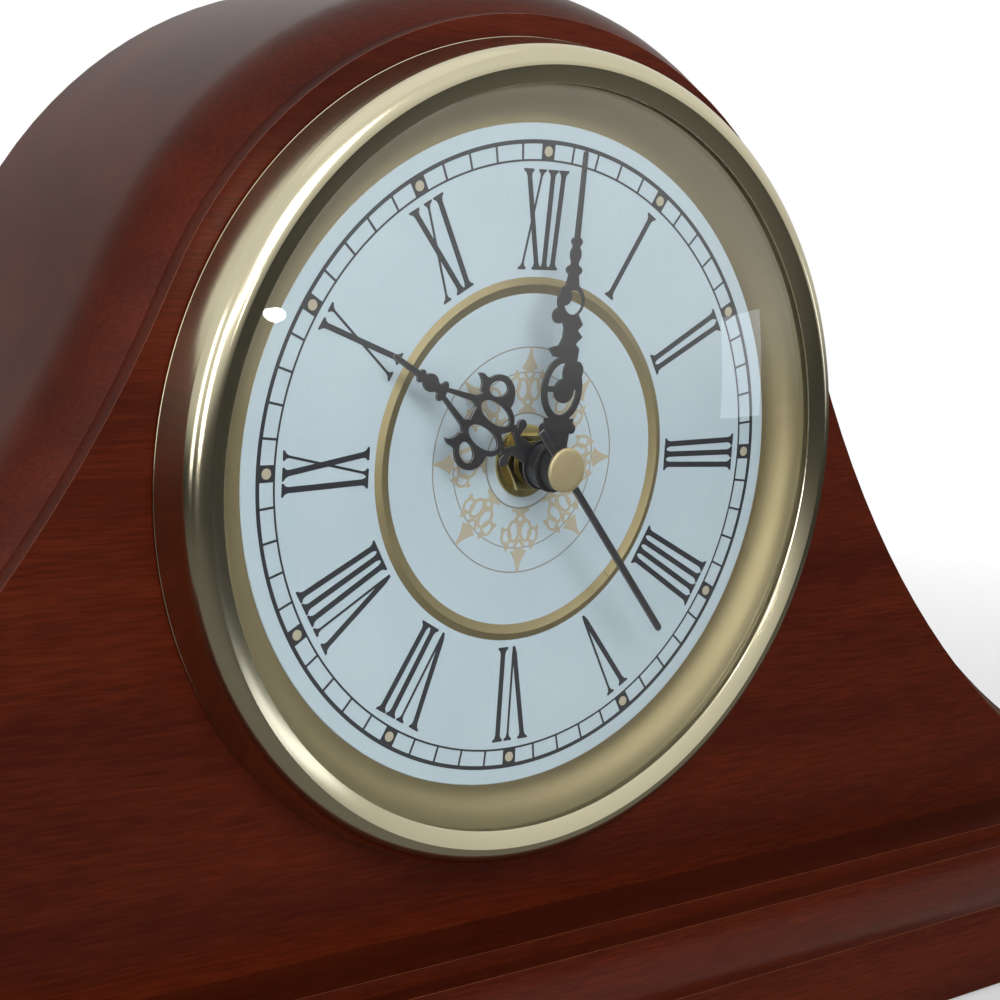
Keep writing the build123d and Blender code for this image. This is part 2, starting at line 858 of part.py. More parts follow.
def make_centre_wheel():
    solid = wheel(centre_teeth, centre_module, 2, (0, 0), 90)
    return solid - disc(minute_pipe_radius + running_clearance, level(2), level(2) + gear_sheet)


def make_third_wheel():
    solid = wheel(third_teeth, third_module, 3, third_place, -90)
    solid += pinion(third_pinion_teeth, centre_module, 2, third_place, -90)
    return solid + arbor(third_place)


def make_second_wheel():
    solid = wheel(second_teeth, second_module, 4, (0, 0), 0)
    solid += pinion(second_pinion_teeth, third_module, 3, (0, 0), 90)
    solid += disc(second_arbor_radius * 2, level(3) + gear_sheet + pinion_overlap, level(4))
    return solid - disc(second_arbor_radius, level(3) - gear_sheet, level(5))


def make_second_arbor():
    return disc(second_arbor_radius, cap_back_y, train_back + pivot_sink)


def make_link_wheel():
    solid = wheel(link_teeth, rotor_module, 5, link_place, 0)
    solid += pinion(link_pinion_teeth, second_module, 4, link_place, 180)
    return solid + arbor(link_place)


def make_rotor():
    magnet_front = at_depth(rotor_magnet_start)
    solid = pinion(rotor_teeth, rotor_module, 5, rotor_place, 180)
    solid += disc(magnet_radius, magnet_front, magnet_front + rotor_magnet_length, rotor_place)
    return solid + arbor(rotor_place)


def make_setting_knob():
    knob_front = housing_back_y + setting_knob_gap
    solid = pinion(setting_teeth, motion_module, 1, setting_place, 0)
    solid += disc(setting_arbor_radius, train_front - pivot_sink, knob_front, setting_place)
    grip = disc(setting_knob_radius, knob_front, knob_front + setting_knob_height, setting_place)
    for groove in range(setting_grooves):
        x, z = around(setting_knob_radius, groove * 360 / setting_grooves)
        place = (setting_place[0] + x, setting_place[1] + z)
        grip -= disc(setting_groove, knob_front, knob_front + setting_knob_height, place)
    return solid + grip


def make_stator():
    front = at_depth(stator_start)
    back = front + stator_sheet
    plate = bar(stator_left, stator_right, stator_foot, stator_top, front, back)
    plate -= disc(stator_hole, front, back, rotor_place)
    plate -= bar(stator_left + stator_leg, stator_right - stator_leg, window_foot, stator_top,
                 front, back)
    half = core_height / 2
    core = bar(stator_left, stator_right, core_z - half, core_z + half, back, back + stator_sheet)
    return plate + core


def make_drive_coil():
    left = stator_left + stator_leg + coil_gap
    right = stator_right - stator_leg - coil_gap
    core_front = at_depth(stator_start) + stator_sheet
    middle = core_front + stator_sheet / 2
    half = core_height / 2
    winding = Rot(0, 90, 0) * Cylinder(coil_radius, right - left)
    coil = Pos((left + right) / 2, middle, dial_z + core_z) * winding
    core_back = core_front + stator_sheet
    return coil - bar(left, right, core_z - half, core_z + half, core_front, core_back)


def make_circuit_board():
    front = at_depth(board_start)
    back = front + board_sheet
    board = bar(board_left, board_right, board_foot, board_top, front, back)
    chip_place = ((board_left + board_right) / 2, board_foot + chip_edge + chip_radius)
    return board + disc(chip_radius, back, back + chip_height, chip_place)


def make_quartz_crystal():
    x = (board_left + board_right) / 2
    y = at_depth(board_start) + board_sheet + crystal_radius
    z = dial_z + board_top - 2 * crystal_radius
    return Pos(x, y, z) * Rot(0, 90, 0) * Cylinder(crystal_radius, crystal_length)


def make_battery():
    y = train_front + battery_radius + running_clearance
    z = dial_z + bay_middle
    whole = battery_length + battery_nub
    can = Rot(0, 90, 0) * Cylinder(battery_radius, battery_length)
    nub = Rot(0, 90, 0) * Cylinder(battery_nub_radius, battery_nub)
    return Pos(-battery_nub / 2, y, z) * can + Pos((whole - battery_nub) / 2, y, z) * nub


def make_battery_contacts():
    """A folded leaf at each end of the bay, between its wall and the battery."""
    half = contact_width / 2
    low = bay_middle - half
    high = bay_middle + half
    middle_y = train_front + battery_radius
    leaves = []
    for side in (-1, 1):
        x0 = min(side * bay_half_length, side * (bay_half_length - contact_reach))
        x1 = x0 + contact_reach
        leaf = bar(x0, x1, low, high, middle_y - half, middle_y + half)
        fold = bar(x0 + contact_sheet, x1 - contact_sheet, low + contact_sheet, high,
                   middle_y - half, middle_y + half)
        leaves.append(leaf - fold)
    return Compound(children=leaves)


# Hands: flat pierced drawings that point up, with (0, 0) at the hub

def bead(half_width, half_height, z, x=0.0):
    return Pos(x, z) * Ellipse(half_width, half_height)


def plate(*points):
    return make_face(Polyline(*points, close=True))


def both_sides(drawing):
    return drawing + mirror(drawing, Plane.YZ)


def strip(half_foot, half_top, foot, top):
    return plate((-half_foot, foot), (half_foot, foot), (half_top, top), (-half_top, top))


def blade(half_foot, half_top, foot, length):
    """A straight tapered blade with a round tip at the given length."""
    top = length - half_top
    return strip(half_foot, half_top, foot, top) + bead(half_top, half_top, top)


def hour_hand_drawing():
    """The pattern is drawn for a hand 42.7 long and then brought to its length."""
    share = hour_length / 42.7
    shape = strip(2.0, 2.0, 0, 9)
    shape += plate((0, 14), (-3.4, 10.3), (0, 6.5), (3.4, 10.3))
    shape += plate((-4.0, 8.2), (4.0, 8.2), (4.0, 9.8), (-4.0, 9.8))
    shape += both_sides(bead(1.1, 1.1, 9.0, 4.0))
    shape += both_sides(bead(3.1, 5.2, 16.0, 2.65))
    shape += both_sides(bead(4.0, 4.0, 17.3, 5.9))
    horn = make_face([
        Line((7.9, 20.4), (7.5, 21.8)),
        ThreePointArc((7.5, 21.8), (7.55, 23.1), (6.9, 24.0)),
        ThreePointArc((6.9, 24.0), (6.3, 22.6), (4.4, 21.7)),
        Polyline((4.4, 21.7), (4.4, 20.0), (7.9, 20.4)),
    ])
    shape += both_sides(horn)
    shape += both_sides(plate((0.2, 29.0), (1.1, 29.0), (3.3, 22.0), (4.6, 20.5),
                              (1.2, 20.5), (1.9, 22.0)))
    shape += plate((-2.4, 20.8), (2.4, 20.8), (1.6, 18.6), (-1.6, 18.6))
    shape += bead(2.05, 1.05, 29.3) + bead(1.75, 1.85, 32.5) + bead(1.33, 0.85, 35.1)
    shape += strip(1.0, 0.9, 28.4, 35.3)
    shape -= both_sides(bead(1.85, 4.0, 16.0, 2.65))
    shape -= both_sides(Pos(6.9, 18.0) * Rot(0, 0, 28) * Ellipse(1.5, 2.2))
    shape -= plate((0, 12.5), (-1.8, 10.3), (0, 8.1), (1.8, 10.3))
    shape = scale(shape, by=share) + Circle(hub_radius)
    return shape + blade(0.68 * share, hour_tip, 35.0 * share, hour_length)


def minute_hand_drawing():
    """The pattern is drawn for a hand 60.45 long and then brought to its length."""
    share = minute_length / 60.45
    shape = strip(2.2, 3.0, 0, 8.6)
    shape += bead(1.0, 1.0, 7.6, -3.6) + bead(1.0, 1.0, 7.6, 3.3)
    shape += plate((-3.6, 6.8), (3.3, 6.8), (3.6, 9.6), (-3.6, 9.6))
    shape += bead(5.0, 6.3, 15.2) + bead(1.6, 1.9, 18.8, 3.2)
    hole = bead(3.7, 5.0, 15.2) - bead(2.4, 2.4, 14.9, 0.5) - bead(3.0, 3.2, 18.4, 2.9)
    hole -= plate((-4.5, 14.6), (0, 14.6), (0, 15.7), (-4.5, 15.7))
    shape -= hole
    shape += plate((-4.3, 22.9), (-3.0, 21.4), (3.0, 20.6), (3.2, 23.1), (2.2, 24.0), (3.7, 25.4),
                   (2.4, 26.6), (3.5, 27.8), (2.2, 29.6), (-2.2, 29.0), (-1.0, 27.0), (-1.1, 25.0),
                   (-1.9, 23.6))
    shape += bead(1.5, 1.5, 29.2, -2.7)
    loop = bead(3.3, 3.3, 32.2)
    loop -= bead(2.35, 2.35, 31.9, 0.6) - bead(1.6, 1.6, 32.8, -1.6)
    shape += loop
    shape += strip(1.6, 1.0, 35.0, 38.0) + bead(1.9, 1.1, 38.0)
    shape += bead(1.3, 1.7, 41.0) + bead(1.28, 0.95, 43.4)
    shape = scale(shape + strip(0.9, 0.8, 38.0, 43.8), by=share) + Circle(hub_radius)
    return shape + blade(0.58 * share, minute_tip, 43.5 * share, minute_length)


def second_hand_drawing():
    return Circle(second_drum_radius) + blade(second_tip, second_tip, -second_tail, second_length)


def make_hand(drawing, angle, height, pipe, drum_radius, drum_depth):
    """A flat hand at its height, with a drum behind it that grips its pipe."""
    front = dial_y - height
    solid = slab(Rot(0, 0, -angle) * drawing, front, front + hand_sheet)
    solid += disc(drum_radius, front, front + drum_depth)
    return solid - disc(pipe, front, front + drum_depth)


def make_hour_hand():
    drum_radius = hour_pipe_radius + collar_wall
    return make_hand(hour_hand_drawing(), hour_angle, hour_height, hour_pipe_radius,
                     drum_radius, hand_collar)


def make_minute_hand():
    drum_depth = minute_height - hour_height - hand_gap
    return make_hand(minute_hand_drawing(), minute_angle, minute_height, minute_pipe_radius,
                     minute_drum_radius, drum_depth)


def make_second_hand():
    drum_depth = second_height - minute_height - hand_gap
    hand = make_hand(second_hand_drawing(), second_angle, second_height, second_arbor_radius,
                     second_drum_radius, drum_depth)
    return hand + ring(second_drum_radius, second_arbor_radius, cap_back_y, dial_y - second_height)


def make_second_cap():
    front = dial_y - cap_height
    cap = disc(cap_radius, front, cap_back_y)
    front_edge = cap.edges().filter_by(lambda e: abs(e.center().Y - front) < 0.001)
    return fillet(front_edge, cap_round)


nodes = {
    "front_board": make_front_board(),
    "case_shell": make_case_shell(),
    "base_moulding": make_base_moulding(),
    "base_plinth": make_base_plinth(),
    "felt_sheet": make_felt_sheet(),
    "base_screws": make_base_screws(),
    "panel_blocks": make_panel_blocks(),
    "bottom_batten": make_bottom_batten(),
    "back_panel": make_back_panel(),
    "panel_screws": make_panel_screws(),
    "hinge_leaves_fixed": make_hinge_leaves_fixed(),
    "hinge_leaves_door": make_hinge_leaves_door(),
    "hinge_pins": make_hinge_pins(),
    "rear_door": make_rear_door(),
    "door_knob": make_door_knob(),
    "strike_plate": make_strike_plate(),
    "magnet_catch": make_magnet_catch(),
    "dial_face": make_dial_face(),
    "dial_ring": make_dial_ring(),
    "dial_pan": make_dial_pan(),
    "pan_screws": make_pan_screws(),
    "glass": make_glass(),
    "glass_gasket": make_glass_gasket(),
    "bezel": make_bezel(),
    "movement_front": make_movement_front(),
    "movement_cover": make_movement_cover(),
    "threaded_bush": make_threaded_bush(),
    "rubber_washer": ring(rubber_washer_radius, bush_radius, pan_back_y, housing_y),
    "brass_washer": ring(brass_washer_radius, bush_radius, nut_back_y, face_centre_y),
    "hex_nut": make_hex_nut(),
    "hour_wheel": make_hour_wheel(),
    "motion_wheel": make_motion_wheel(),
    "cannon_pinion": make_cannon_pinion(),
    "centre_wheel": make_centre_wheel(),
    "third_wheel": make_third_wheel(),
    "second_wheel": make_second_wheel(),
    "second_arbor": make_second_arbor(),
    "link_wheel": make_link_wheel(),
    "rotor": make_rotor(),
    "setting_knob": make_setting_knob(),
    "stator": make_stator(),
    "drive_coil": make_drive_coil(),
    "circuit_board": make_circuit_board(),
    "quartz_crystal": make_quartz_crystal(),
    "battery": make_battery(),
    "battery_contacts": make_battery_contacts(),
    "hour_hand": make_hour_hand(),
    "minute_hand": make_minute_hand(),
    "second_hand": make_second_hand(),
    "second_cap": make_second_cap(),
}

os.makedirs("parts", exist_ok=True)
for name, shape in nodes.items():
    export_step(shape, f"parts/{name}.step")
print(len(nodes), "nodes; dial centre", round(dial_y, 2), round(dial_z, 2))
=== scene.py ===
# %% [markdown]
# # A round-topped mantel clock
# The solids of the clock come from its construction model. This lesson dresses them: it gives each
# surface its finish, remodels the pieces that need finer detail, prints the dial and lights the set.

# %% Load the frame
import json
import math

import bmesh
import bpy
from mathutils import Matrix, Vector

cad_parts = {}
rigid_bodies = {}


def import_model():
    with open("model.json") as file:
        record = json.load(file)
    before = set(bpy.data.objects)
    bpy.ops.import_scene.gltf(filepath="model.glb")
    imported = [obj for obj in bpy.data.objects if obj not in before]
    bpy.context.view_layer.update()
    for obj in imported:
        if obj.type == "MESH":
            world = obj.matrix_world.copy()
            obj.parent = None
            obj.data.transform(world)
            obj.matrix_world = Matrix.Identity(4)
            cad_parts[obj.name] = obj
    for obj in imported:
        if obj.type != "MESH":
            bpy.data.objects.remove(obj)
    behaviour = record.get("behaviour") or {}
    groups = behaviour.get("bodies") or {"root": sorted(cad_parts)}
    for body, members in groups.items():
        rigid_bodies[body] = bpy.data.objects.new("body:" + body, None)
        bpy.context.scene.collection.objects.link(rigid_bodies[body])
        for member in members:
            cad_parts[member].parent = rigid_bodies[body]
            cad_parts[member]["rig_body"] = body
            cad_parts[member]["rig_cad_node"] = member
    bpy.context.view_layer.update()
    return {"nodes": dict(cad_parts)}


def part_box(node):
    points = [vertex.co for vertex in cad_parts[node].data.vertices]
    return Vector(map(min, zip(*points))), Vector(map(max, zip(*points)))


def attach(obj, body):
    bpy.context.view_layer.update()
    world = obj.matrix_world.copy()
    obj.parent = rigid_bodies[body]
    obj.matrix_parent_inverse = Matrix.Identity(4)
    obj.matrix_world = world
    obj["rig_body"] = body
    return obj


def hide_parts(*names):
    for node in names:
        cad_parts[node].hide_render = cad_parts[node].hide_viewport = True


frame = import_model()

mm = 0.001
dial_z = 129.4     # height of the dial's axis above the table
face_y = -24.6     # front of the white dial

# %% [markdown]
# ## Camera
# The photograph was taken close up, from the left and a little above the dial. The camera's place was
# worked out from the dial's circles, which are ellipses in the picture, so it is set as a matrix.

# %% Camera
camera = bpy.data.objects.new("camera", bpy.data.cameras.new("camera"))
bpy.context.scene.collection.objects.link(camera)
bpy.context.scene.camera = camera
camera.data.lens = 69.263
camera.data.sensor_width = 36.0
camera.data.clip_start = 0.02
camera.matrix_world = Matrix((
    (0.78092869, 0.04960311, -0.62264750, -0.24026),
    (-0.62144977, 0.16201034, -0.76651995, -0.31278),
    (0.06285356, 0.98554157, 0.15734437, 0.18112),
    (0.0, 0.0, 0.0, 1.0),
))
print("camera at", [round(c, 3) for c in camera.location])

# %% [markdown]
# ## Finishes: how a material is written
# Colours are written as sRGB hex values, as a paint chart gives them, and turned to the linear numbers
# that the shader reads. One function adds a node, sets it and links it, so a material reads as a list.


# %% Colour and node helpers
def colour(hexcode):
    """An sRGB hex colour as linear red, green, blue and alpha."""
    parts = [int(hexcode[i:i + 2], 16) / 255 for i in (1, 3, 5)]
    return (*[c / 12.92 if c <= 0.04045 else ((c + 0.055) / 1.055) ** 2.4 for c in parts], 1.0)


def finish(name):
    """An empty material with a node tree."""
    new = bpy.data.materials.new(name)
    new.use_nodes = True
    new.node_tree.nodes.clear()
    return new


def node(owner, kind, inputs=None, stops=None, **settings):
    """Adds one node: settings are its options, inputs are numbers or the outputs to link."""
    new = owner.node_tree.nodes.new("ShaderNode" + kind)
    for name, value in settings.items():
        setattr(new, name, value)
    for name, value in (inputs or {}).items():
        if isinstance(value, bpy.types.NodeSocket):
            owner.node_tree.links.new(value, new.inputs[name])
        else:
            new.inputs[name].default_value = value
    for place, (position, shade) in enumerate(stops or []):
        ramp = new.color_ramp.elements
        stop = ramp[place] if place < 2 else ramp.new(position)
        stop.position = position
        stop.color = shade
    return new


print("helpers ready")

# %% [markdown]
# ## Polished mahogany
# The case is mahogany, stained red-brown and sprayed with a satin lacquer. Its grain is fine and even:
# threads under half a millimetre across, a slow drift of tone along each board, and open pores as short
# dark dashes. Noise that is stretched along the boards gives all three. The satin lacquer is thin and
# mirrors softly, so the gloss is broad and the specular level low.

# %% Mahogany
threads = (120.0, 2300.0, 2300.0)      # to the metre: 8.3 mm long and 0.43 mm across
drift = (5.0, 60.0, 60.0)              # 200 mm long and 17 mm across
pore_dashes = (260.0, 4200.0, 4200.0)  # 3.8 mm long and 0.24 mm across
mahogany = finish("lacquered_mahogany")
where = node(mahogany, "TexCoord").outputs["Object"]
along = node(mahogany, "Mapping", {"Vector": where, "Scale": threads})
grain = node(mahogany, "TexNoise", {
    "Vector": along.outputs[0], "Scale": 1.0, "Detail": 3.0, "Roughness": 0.6})
broad = node(mahogany, "Mapping", {"Vector": where, "Scale": drift})
figure = node(mahogany, "TexNoise", {"Vector": broad.outputs[0], "Scale": 1.0, "Detail": 4.0})
dashes = node(mahogany, "Mapping", {"Vector": where, "Scale": pore_dashes})
pores = node(mahogany, "TexNoise", {"Vector": dashes.outputs[0], "Scale": 1.0, "Detail": 1.0})
pore_mask = node(mahogany, "ValToRGB", {"Fac": pores.outputs["Fac"]},
                 [(0.24, (0.6, 0.6, 0.6, 1)), (0.38, (1, 1, 1, 1))])
streaks = node(mahogany, "Math", {0: grain.outputs["Fac"], 1: figure.outputs["Fac"]}, operation="ADD")
half = node(mahogany, "Math", {0: streaks.outputs[0], 1: 0.5}, operation="MULTIPLY")
stain = node(mahogany, "ValToRGB", {"Fac": half.outputs[0]},
             [(0.36, colour("#320B03")), (0.64, colour("#4E1907")), (0.50, colour("#3F1204"))])
wood = node(mahogany, "Mix", {0: pore_mask.outputs["Color"], 6: colour("#250904"), 7: stain.outputs["Color"]},
            data_type="RGBA")
gloss = node(mahogany, "MapRange", {"Value": grain.outputs["Fac"], "To Min": 0.29, "To Max": 0.37})
relief = node(mahogany, "Bump", {"Height": pore_mask.outputs["Color"], "Strength": 0.12, "Distance": 0.00005})
surface = node(mahogany, "BsdfPrincipled", {
    "Base Color": wood.outputs[2], "Roughness": gloss.outputs[0], "Normal": relief.outputs[0],
    "IOR": 1.45, "Specular IOR Level": 0.15})
node(mahogany, "OutputMaterial", {"Surface": surface.outputs[0]})
print("made", mahogany.name)

# %% [markdown]
# ## Spun brass, brushed gold and turned brass
# The bezel and the pan are brass sheet, spun on a lathe and lacquered to a pale champagne colour. The
# tool leaves fine rings, so the pattern follows the distance from the dial's axis. Real rings are about
# 0.1 mm apart, too fine to show, so they are drawn 0.35 mm apart.

# %% Metals with turning rings
rings_every = 0.35 * mm


def lathe_metal(name, hexcode, rough, spread, strength):
    """A metal whose fine rings run round the dial's axis."""
    metal = finish(name)
    where = node(metal, "TexCoord").outputs["Object"]
    centred = node(metal, "Mapping", {"Vector": where, "Location": (0, 0, -dial_z * mm), "Scale": (1, 0, 1)})
    radius = node(metal, "VectorMath", {0: centred.outputs[0]}, operation="LENGTH")
    count = node(metal, "Math", {0: radius.outputs["Value"], 1: 1 / rings_every}, operation="MULTIPLY")
    rings = node(metal, "TexNoise", {"W": count.outputs[0], "Scale": 1.0, "Detail": 2.0},
                 noise_dimensions="1D")
    cloud = node(metal, "TexNoise", {"Vector": where, "Scale": 90.0, "Detail": 3.0})
    tone = node(metal, "MapRange", {"Value": cloud.outputs["Fac"], "To Min": 0.92, "To Max": 1.0})
    tint = node(metal, "VectorMath", {0: colour(hexcode)[:3], 1: tone.outputs[0]}, operation="MULTIPLY")
    rough_rings = node(metal, "MapRange", {
        "Value": rings.outputs["Fac"], "To Min": rough - spread, "To Max": rough + spread})
    relief = node(metal, "Bump", {"Height": rings.outputs["Fac"], "Strength": strength, "Distance": 0.00003})
    surface = node(metal, "BsdfPrincipled", {
        "Base Color": tint.outputs[0], "Metallic": 1.0, "Roughness": rough_rings.outputs[0],
        "Normal": relief.outputs[0]})
    node(metal, "OutputMaterial", {"Surface": surface.outputs[0]})
    print("made", name)
    return metal


bezel_brass = lathe_metal("polished_champagne_brass", "#DAD1B4", 0.16, 0.04, 0.06)
pan_gold = lathe_metal("brushed_dial_gold", "#9F9270", 0.5, 0.08, 0.25)
cap_brass = lathe_metal("turned_brass", "#D8C69E", 0.46, 0.08, 0.6)

# %% [markdown]
# ## Dial enamel and printing inks
# The dial is sheet metal with white baked enamel, written a cool light grey as painted cool shade. The
# numerals are screen-printed in black and the rosette in a dull gold ink. Enamel is even, with a faint
# cloudiness. Ink has tiny pinholes and a softer gloss. The same two-tone recipe gives the paler line on
# an arris: a painted highlight along the edge, with the stain that sanding thins there.

# %% Enamel and inks


def coating(name, low, high, metallic, rough, grain_mm, bump):
    """A paint, enamel, ink or moulded skin: a fine two-tone grain with matching gloss and relief."""
    paint = finish(name)
    where = node(paint, "TexCoord").outputs["Object"]
    fine = node(paint, "TexNoise", {"Vector": where, "Scale": 1 / (grain_mm * mm), "Detail": 3.0})
    slow = node(paint, "TexNoise", {"Vector": where, "Scale": 40.0, "Detail": 2.0})
    both = node(paint, "Math", {0: fine.outputs["Fac"], 1: slow.outputs["Fac"]}, operation="ADD")
    level = node(paint, "Math", {0: both.outputs[0], 1: 0.5}, operation="MULTIPLY")
    tint = node(paint, "ValToRGB", {"Fac": level.outputs[0]}, [(0.35, colour(low)), (0.65, colour(high))])
    gloss = node(paint, "MapRange", {
        "Value": level.outputs[0], "To Min": rough - 0.06, "To Max": rough + 0.06})
    relief = node(paint, "Bump", {"Height": fine.outputs["Fac"], "Strength": bump, "Distance": 0.00004})
    surface = node(paint, "BsdfPrincipled", {
        "Base Color": tint.outputs["Color"], "Metallic": metallic, "Roughness": gloss.outputs[0],
        "Normal": relief.outputs[0]})
    node(paint, "OutputMaterial", {"Surface": surface.outputs[0]})
    print("made", name)
    return paint


# Paler, warmer line along the boards' edges: a painted highlight, with thinner stain on a sanded edge
arris_wear_and_highlight = coating("rubbed_mahogany_arris", "#5F2A12", "#7E411F", 0.0, 0.42, 0.8, 0.05)
# Baked enamel: white, written as an even, cool light grey for a painted cool shade, with a soft gloss
dial_enamel = coating("cool_white_enamel", "#AFBFC9", "#B7C6CF", 0.0, 0.38, 0.5, 0.03)
# Printing inks: flat colour with hardly any gloss
black_ink = coating("black_printing_ink", "#16181F", "#20232B", 0.0, 0.55, 0.3, 0.05)
gold_ink = coating("gold_printing_ink", "#A69D88", "#B3AA95", 0.0, 0.55, 0.3, 0.05)
line_ink = coating("dark_gold_line_ink", "#7F7C73", "#8B887F", 0.0, 0.55, 0.3, 0.05)
# Lacquer and mouldings: satin hands, grained ABS, waxy acetal and matt rubber
hand_black = coating("satin_black_lacquer", "#232125", "#2E2C30", 0.0, 0.4, 0.25, 0.08)
black_abs = coating("moulded_black_abs", "#1A1A1C", "#26262A", 0.0, 0.5, 0.4, 0.25)
white_acetal = coating("white_acetal", "#DAD7CE", "#E6E3DB", 0.0, 0.42, 0.6, 0.06)
rubber = coating("black_rubber", "#161617", "#222224", 0.0, 0.75, 0.3, 0.3)
# Metals and ferrite: bluish zinc, bright sheared edges, yellow brass, dark ferrite, white tin
zinc_steel = coating("zinc_plated_steel", "#A9ABAD", "#C3C5C7", 1.0, 0.34, 0.35, 0.08)
bare_edge = coating("bare_steel_edge", "#8E8D8E", "#A9A8A8", 1.0, 0.3, 0.2, 0.08)
hard_brass = coating("polished_brass", "#CDBB84", "#DCCB96", 1.0, 0.2, 0.5, 0.05)
ferrite = coating("sintered_ferrite", "#2B2A2C", "#3A393B", 0.4, 0.55, 0.2, 0.2)
tin_plate = coating("tin_plate", "#B9BBBC", "#CFD1D2", 1.0, 0.28, 0.4, 0.05)

# %% [markdown]
# ## Glass
# The watch glass is clear soda-lime glass, moulded to a shallow dome. It is polished, so only a trace of
# haze is added to its gloss. Its shadow is turned off where the piece is made, because light passes it.

# %% Glass
clear_glass = finish("clear_soda_glass")
where = node(clear_glass, "TexCoord").outputs["Object"]
haze = node(clear_glass, "TexNoise", {"Vector": where, "Scale": 30.0, "Detail": 3.0})
trace = node(clear_glass, "MapRange", {"Value": haze.outputs["Fac"], "To Min": 0.0, "To Max": 0.02})
surface = node(clear_glass, "BsdfPrincipled", {
    "Base Color": colour("#FCFEFD"), "Roughness": trace.outputs[0], "IOR": 1.5, "Transmission Weight": 1.0})
node(clear_glass, "OutputMaterial", {"Surface": surface.outputs[0]})
print("made", clear_glass.name)

# %% [markdown]
# ## Hardboard, pine and felt
# Clock backs are tempered hardboard: brown pressed fibre with a smooth face full of short dark fibres.
# The blocks inside are rough pine, and the foot is covered with green felt so that it doesn't scratch.

# %% Hardboard, pine and felt
hardboard = finish("tempered_hardboard")
where = node(hardboard, "TexCoord").outputs["Object"]
fibres = node(hardboard, "TexNoise", {"Vector": where, "Scale": 900.0, "Detail": 5.0, "Distortion": 1.2})
shades = node(hardboard, "ValToRGB", {"Fac": fibres.outputs["Fac"]},
              [(0.32, colour("#3E2718")), (0.66, colour("#7A5536")), (0.50, colour("#5E3F27"))])
relief = node(hardboard, "Bump", {"Height": fibres.outputs["Fac"], "Strength": 0.2, "Distance": 0.0001})
surface = node(hardboard, "BsdfPrincipled", {
    "Base Color": shades.outputs["Color"], "Roughness": 0.55, "Normal": relief.outputs[0]})
node(hardboard, "OutputMaterial", {"Surface": surface.outputs[0]})

pine = finish("planed_pine")
where = node(pine, "TexCoord").outputs["Object"]
along = node(pine, "Mapping", {"Vector": where, "Scale": (12.0, 320.0, 320.0)})
rings = node(pine, "TexNoise", {"Vector": along.outputs[0], "Scale": 1.0, "Detail": 3.0})
shades = node(pine, "ValToRGB", {"Fac": rings.outputs["Fac"]},
              [(0.36, colour("#B98F5A")), (0.62, colour("#DDBB88"))])
relief = node(pine, "Bump", {"Height": rings.outputs["Fac"], "Strength": 0.25, "Distance": 0.0001})
surface = node(pine, "BsdfPrincipled", {
    "Base Color": shades.outputs["Color"], "Roughness": 0.65, "Normal": relief.outputs[0]})
node(pine, "OutputMaterial", {"Surface": surface.outputs[0]})

green_felt = finish("green_felt")
where = node(green_felt, "TexCoord").outputs["Object"]
tufts = node(green_felt, "TexNoise", {"Vector": where, "Scale": 1400.0, "Detail": 5.0, "Distortion": 2.0})
shades = node(green_felt, "ValToRGB", {"Fac": tufts.outputs["Fac"]},
              [(0.35, colour("#16301F")), (0.65, colour("#2F5A3C"))])
relief = node(green_felt, "Bump", {"Height": tufts.outputs["Fac"], "Strength": 0.7, "Distance": 0.0003})
surface = node(green_felt, "BsdfPrincipled", {
    "Base Color": shades.outputs["Color"], "Roughness": 0.95, "Normal": relief.outputs[0],
    "Sheen Weight": 0.3})
node(green_felt, "OutputMaterial", {"Surface": surface.outputs[0]})
print("made", hardboard.name, pine.name, green_felt.name)

# %% [markdown]
# ## Finishes inside the movement
# The coil is enamelled copper wire wound along its core, so fine bands run across it. The board is green
# fibreglass with paler tracks under its mask. The cell wears a plain two-colour plastic sleeve.

# %% Coil, board and cell
coil_wire = finish("enamelled_copper_wire")
where = node(coil_wire, "TexCoord").outputs["Object"]
turns = node(coil_wire, "TexWave", {"Vector": where, "Scale": 1100.0, "Distortion": 0.6, "Detail": 1.0},
             bands_direction="X")
shades = node(coil_wire, "ValToRGB", {"Fac": turns.outputs["Fac"]},
              [(0.1, colour("#6B2E14")), (0.8, colour("#B9622F"))])
relief = node(coil_wire, "Bump", {"Height": turns.outputs["Fac"], "Strength": 0.5, "Distance": 0.00008})
surface = node(coil_wire, "BsdfPrincipled", {
    "Base Color": shades.outputs["Color"], "Metallic": 0.8, "Roughness": 0.3, "Normal": relief.outputs[0]})
node(coil_wire, "OutputMaterial", {"Surface": surface.outputs[0]})

board_green = finish("masked_fibreglass_board")
where = node(board_green, "TexCoord").outputs["Object"]
tracks = node(board_green, "TexVoronoi", {"Vector": where, "Scale": 420.0}, feature="DISTANCE_TO_EDGE",
              distance="MANHATTAN")
shades = node(board_green, "ValToRGB", {"Fac": tracks.outputs["Distance"]},
              [(0.05, colour("#2F7A4A")), (0.12, colour("#17502F"))])
surface = node(board_green, "BsdfPrincipled", {"Base Color": shades.outputs["Color"], "Roughness": 0.35})
node(board_green, "OutputMaterial", {"Surface": surface.outputs[0]})

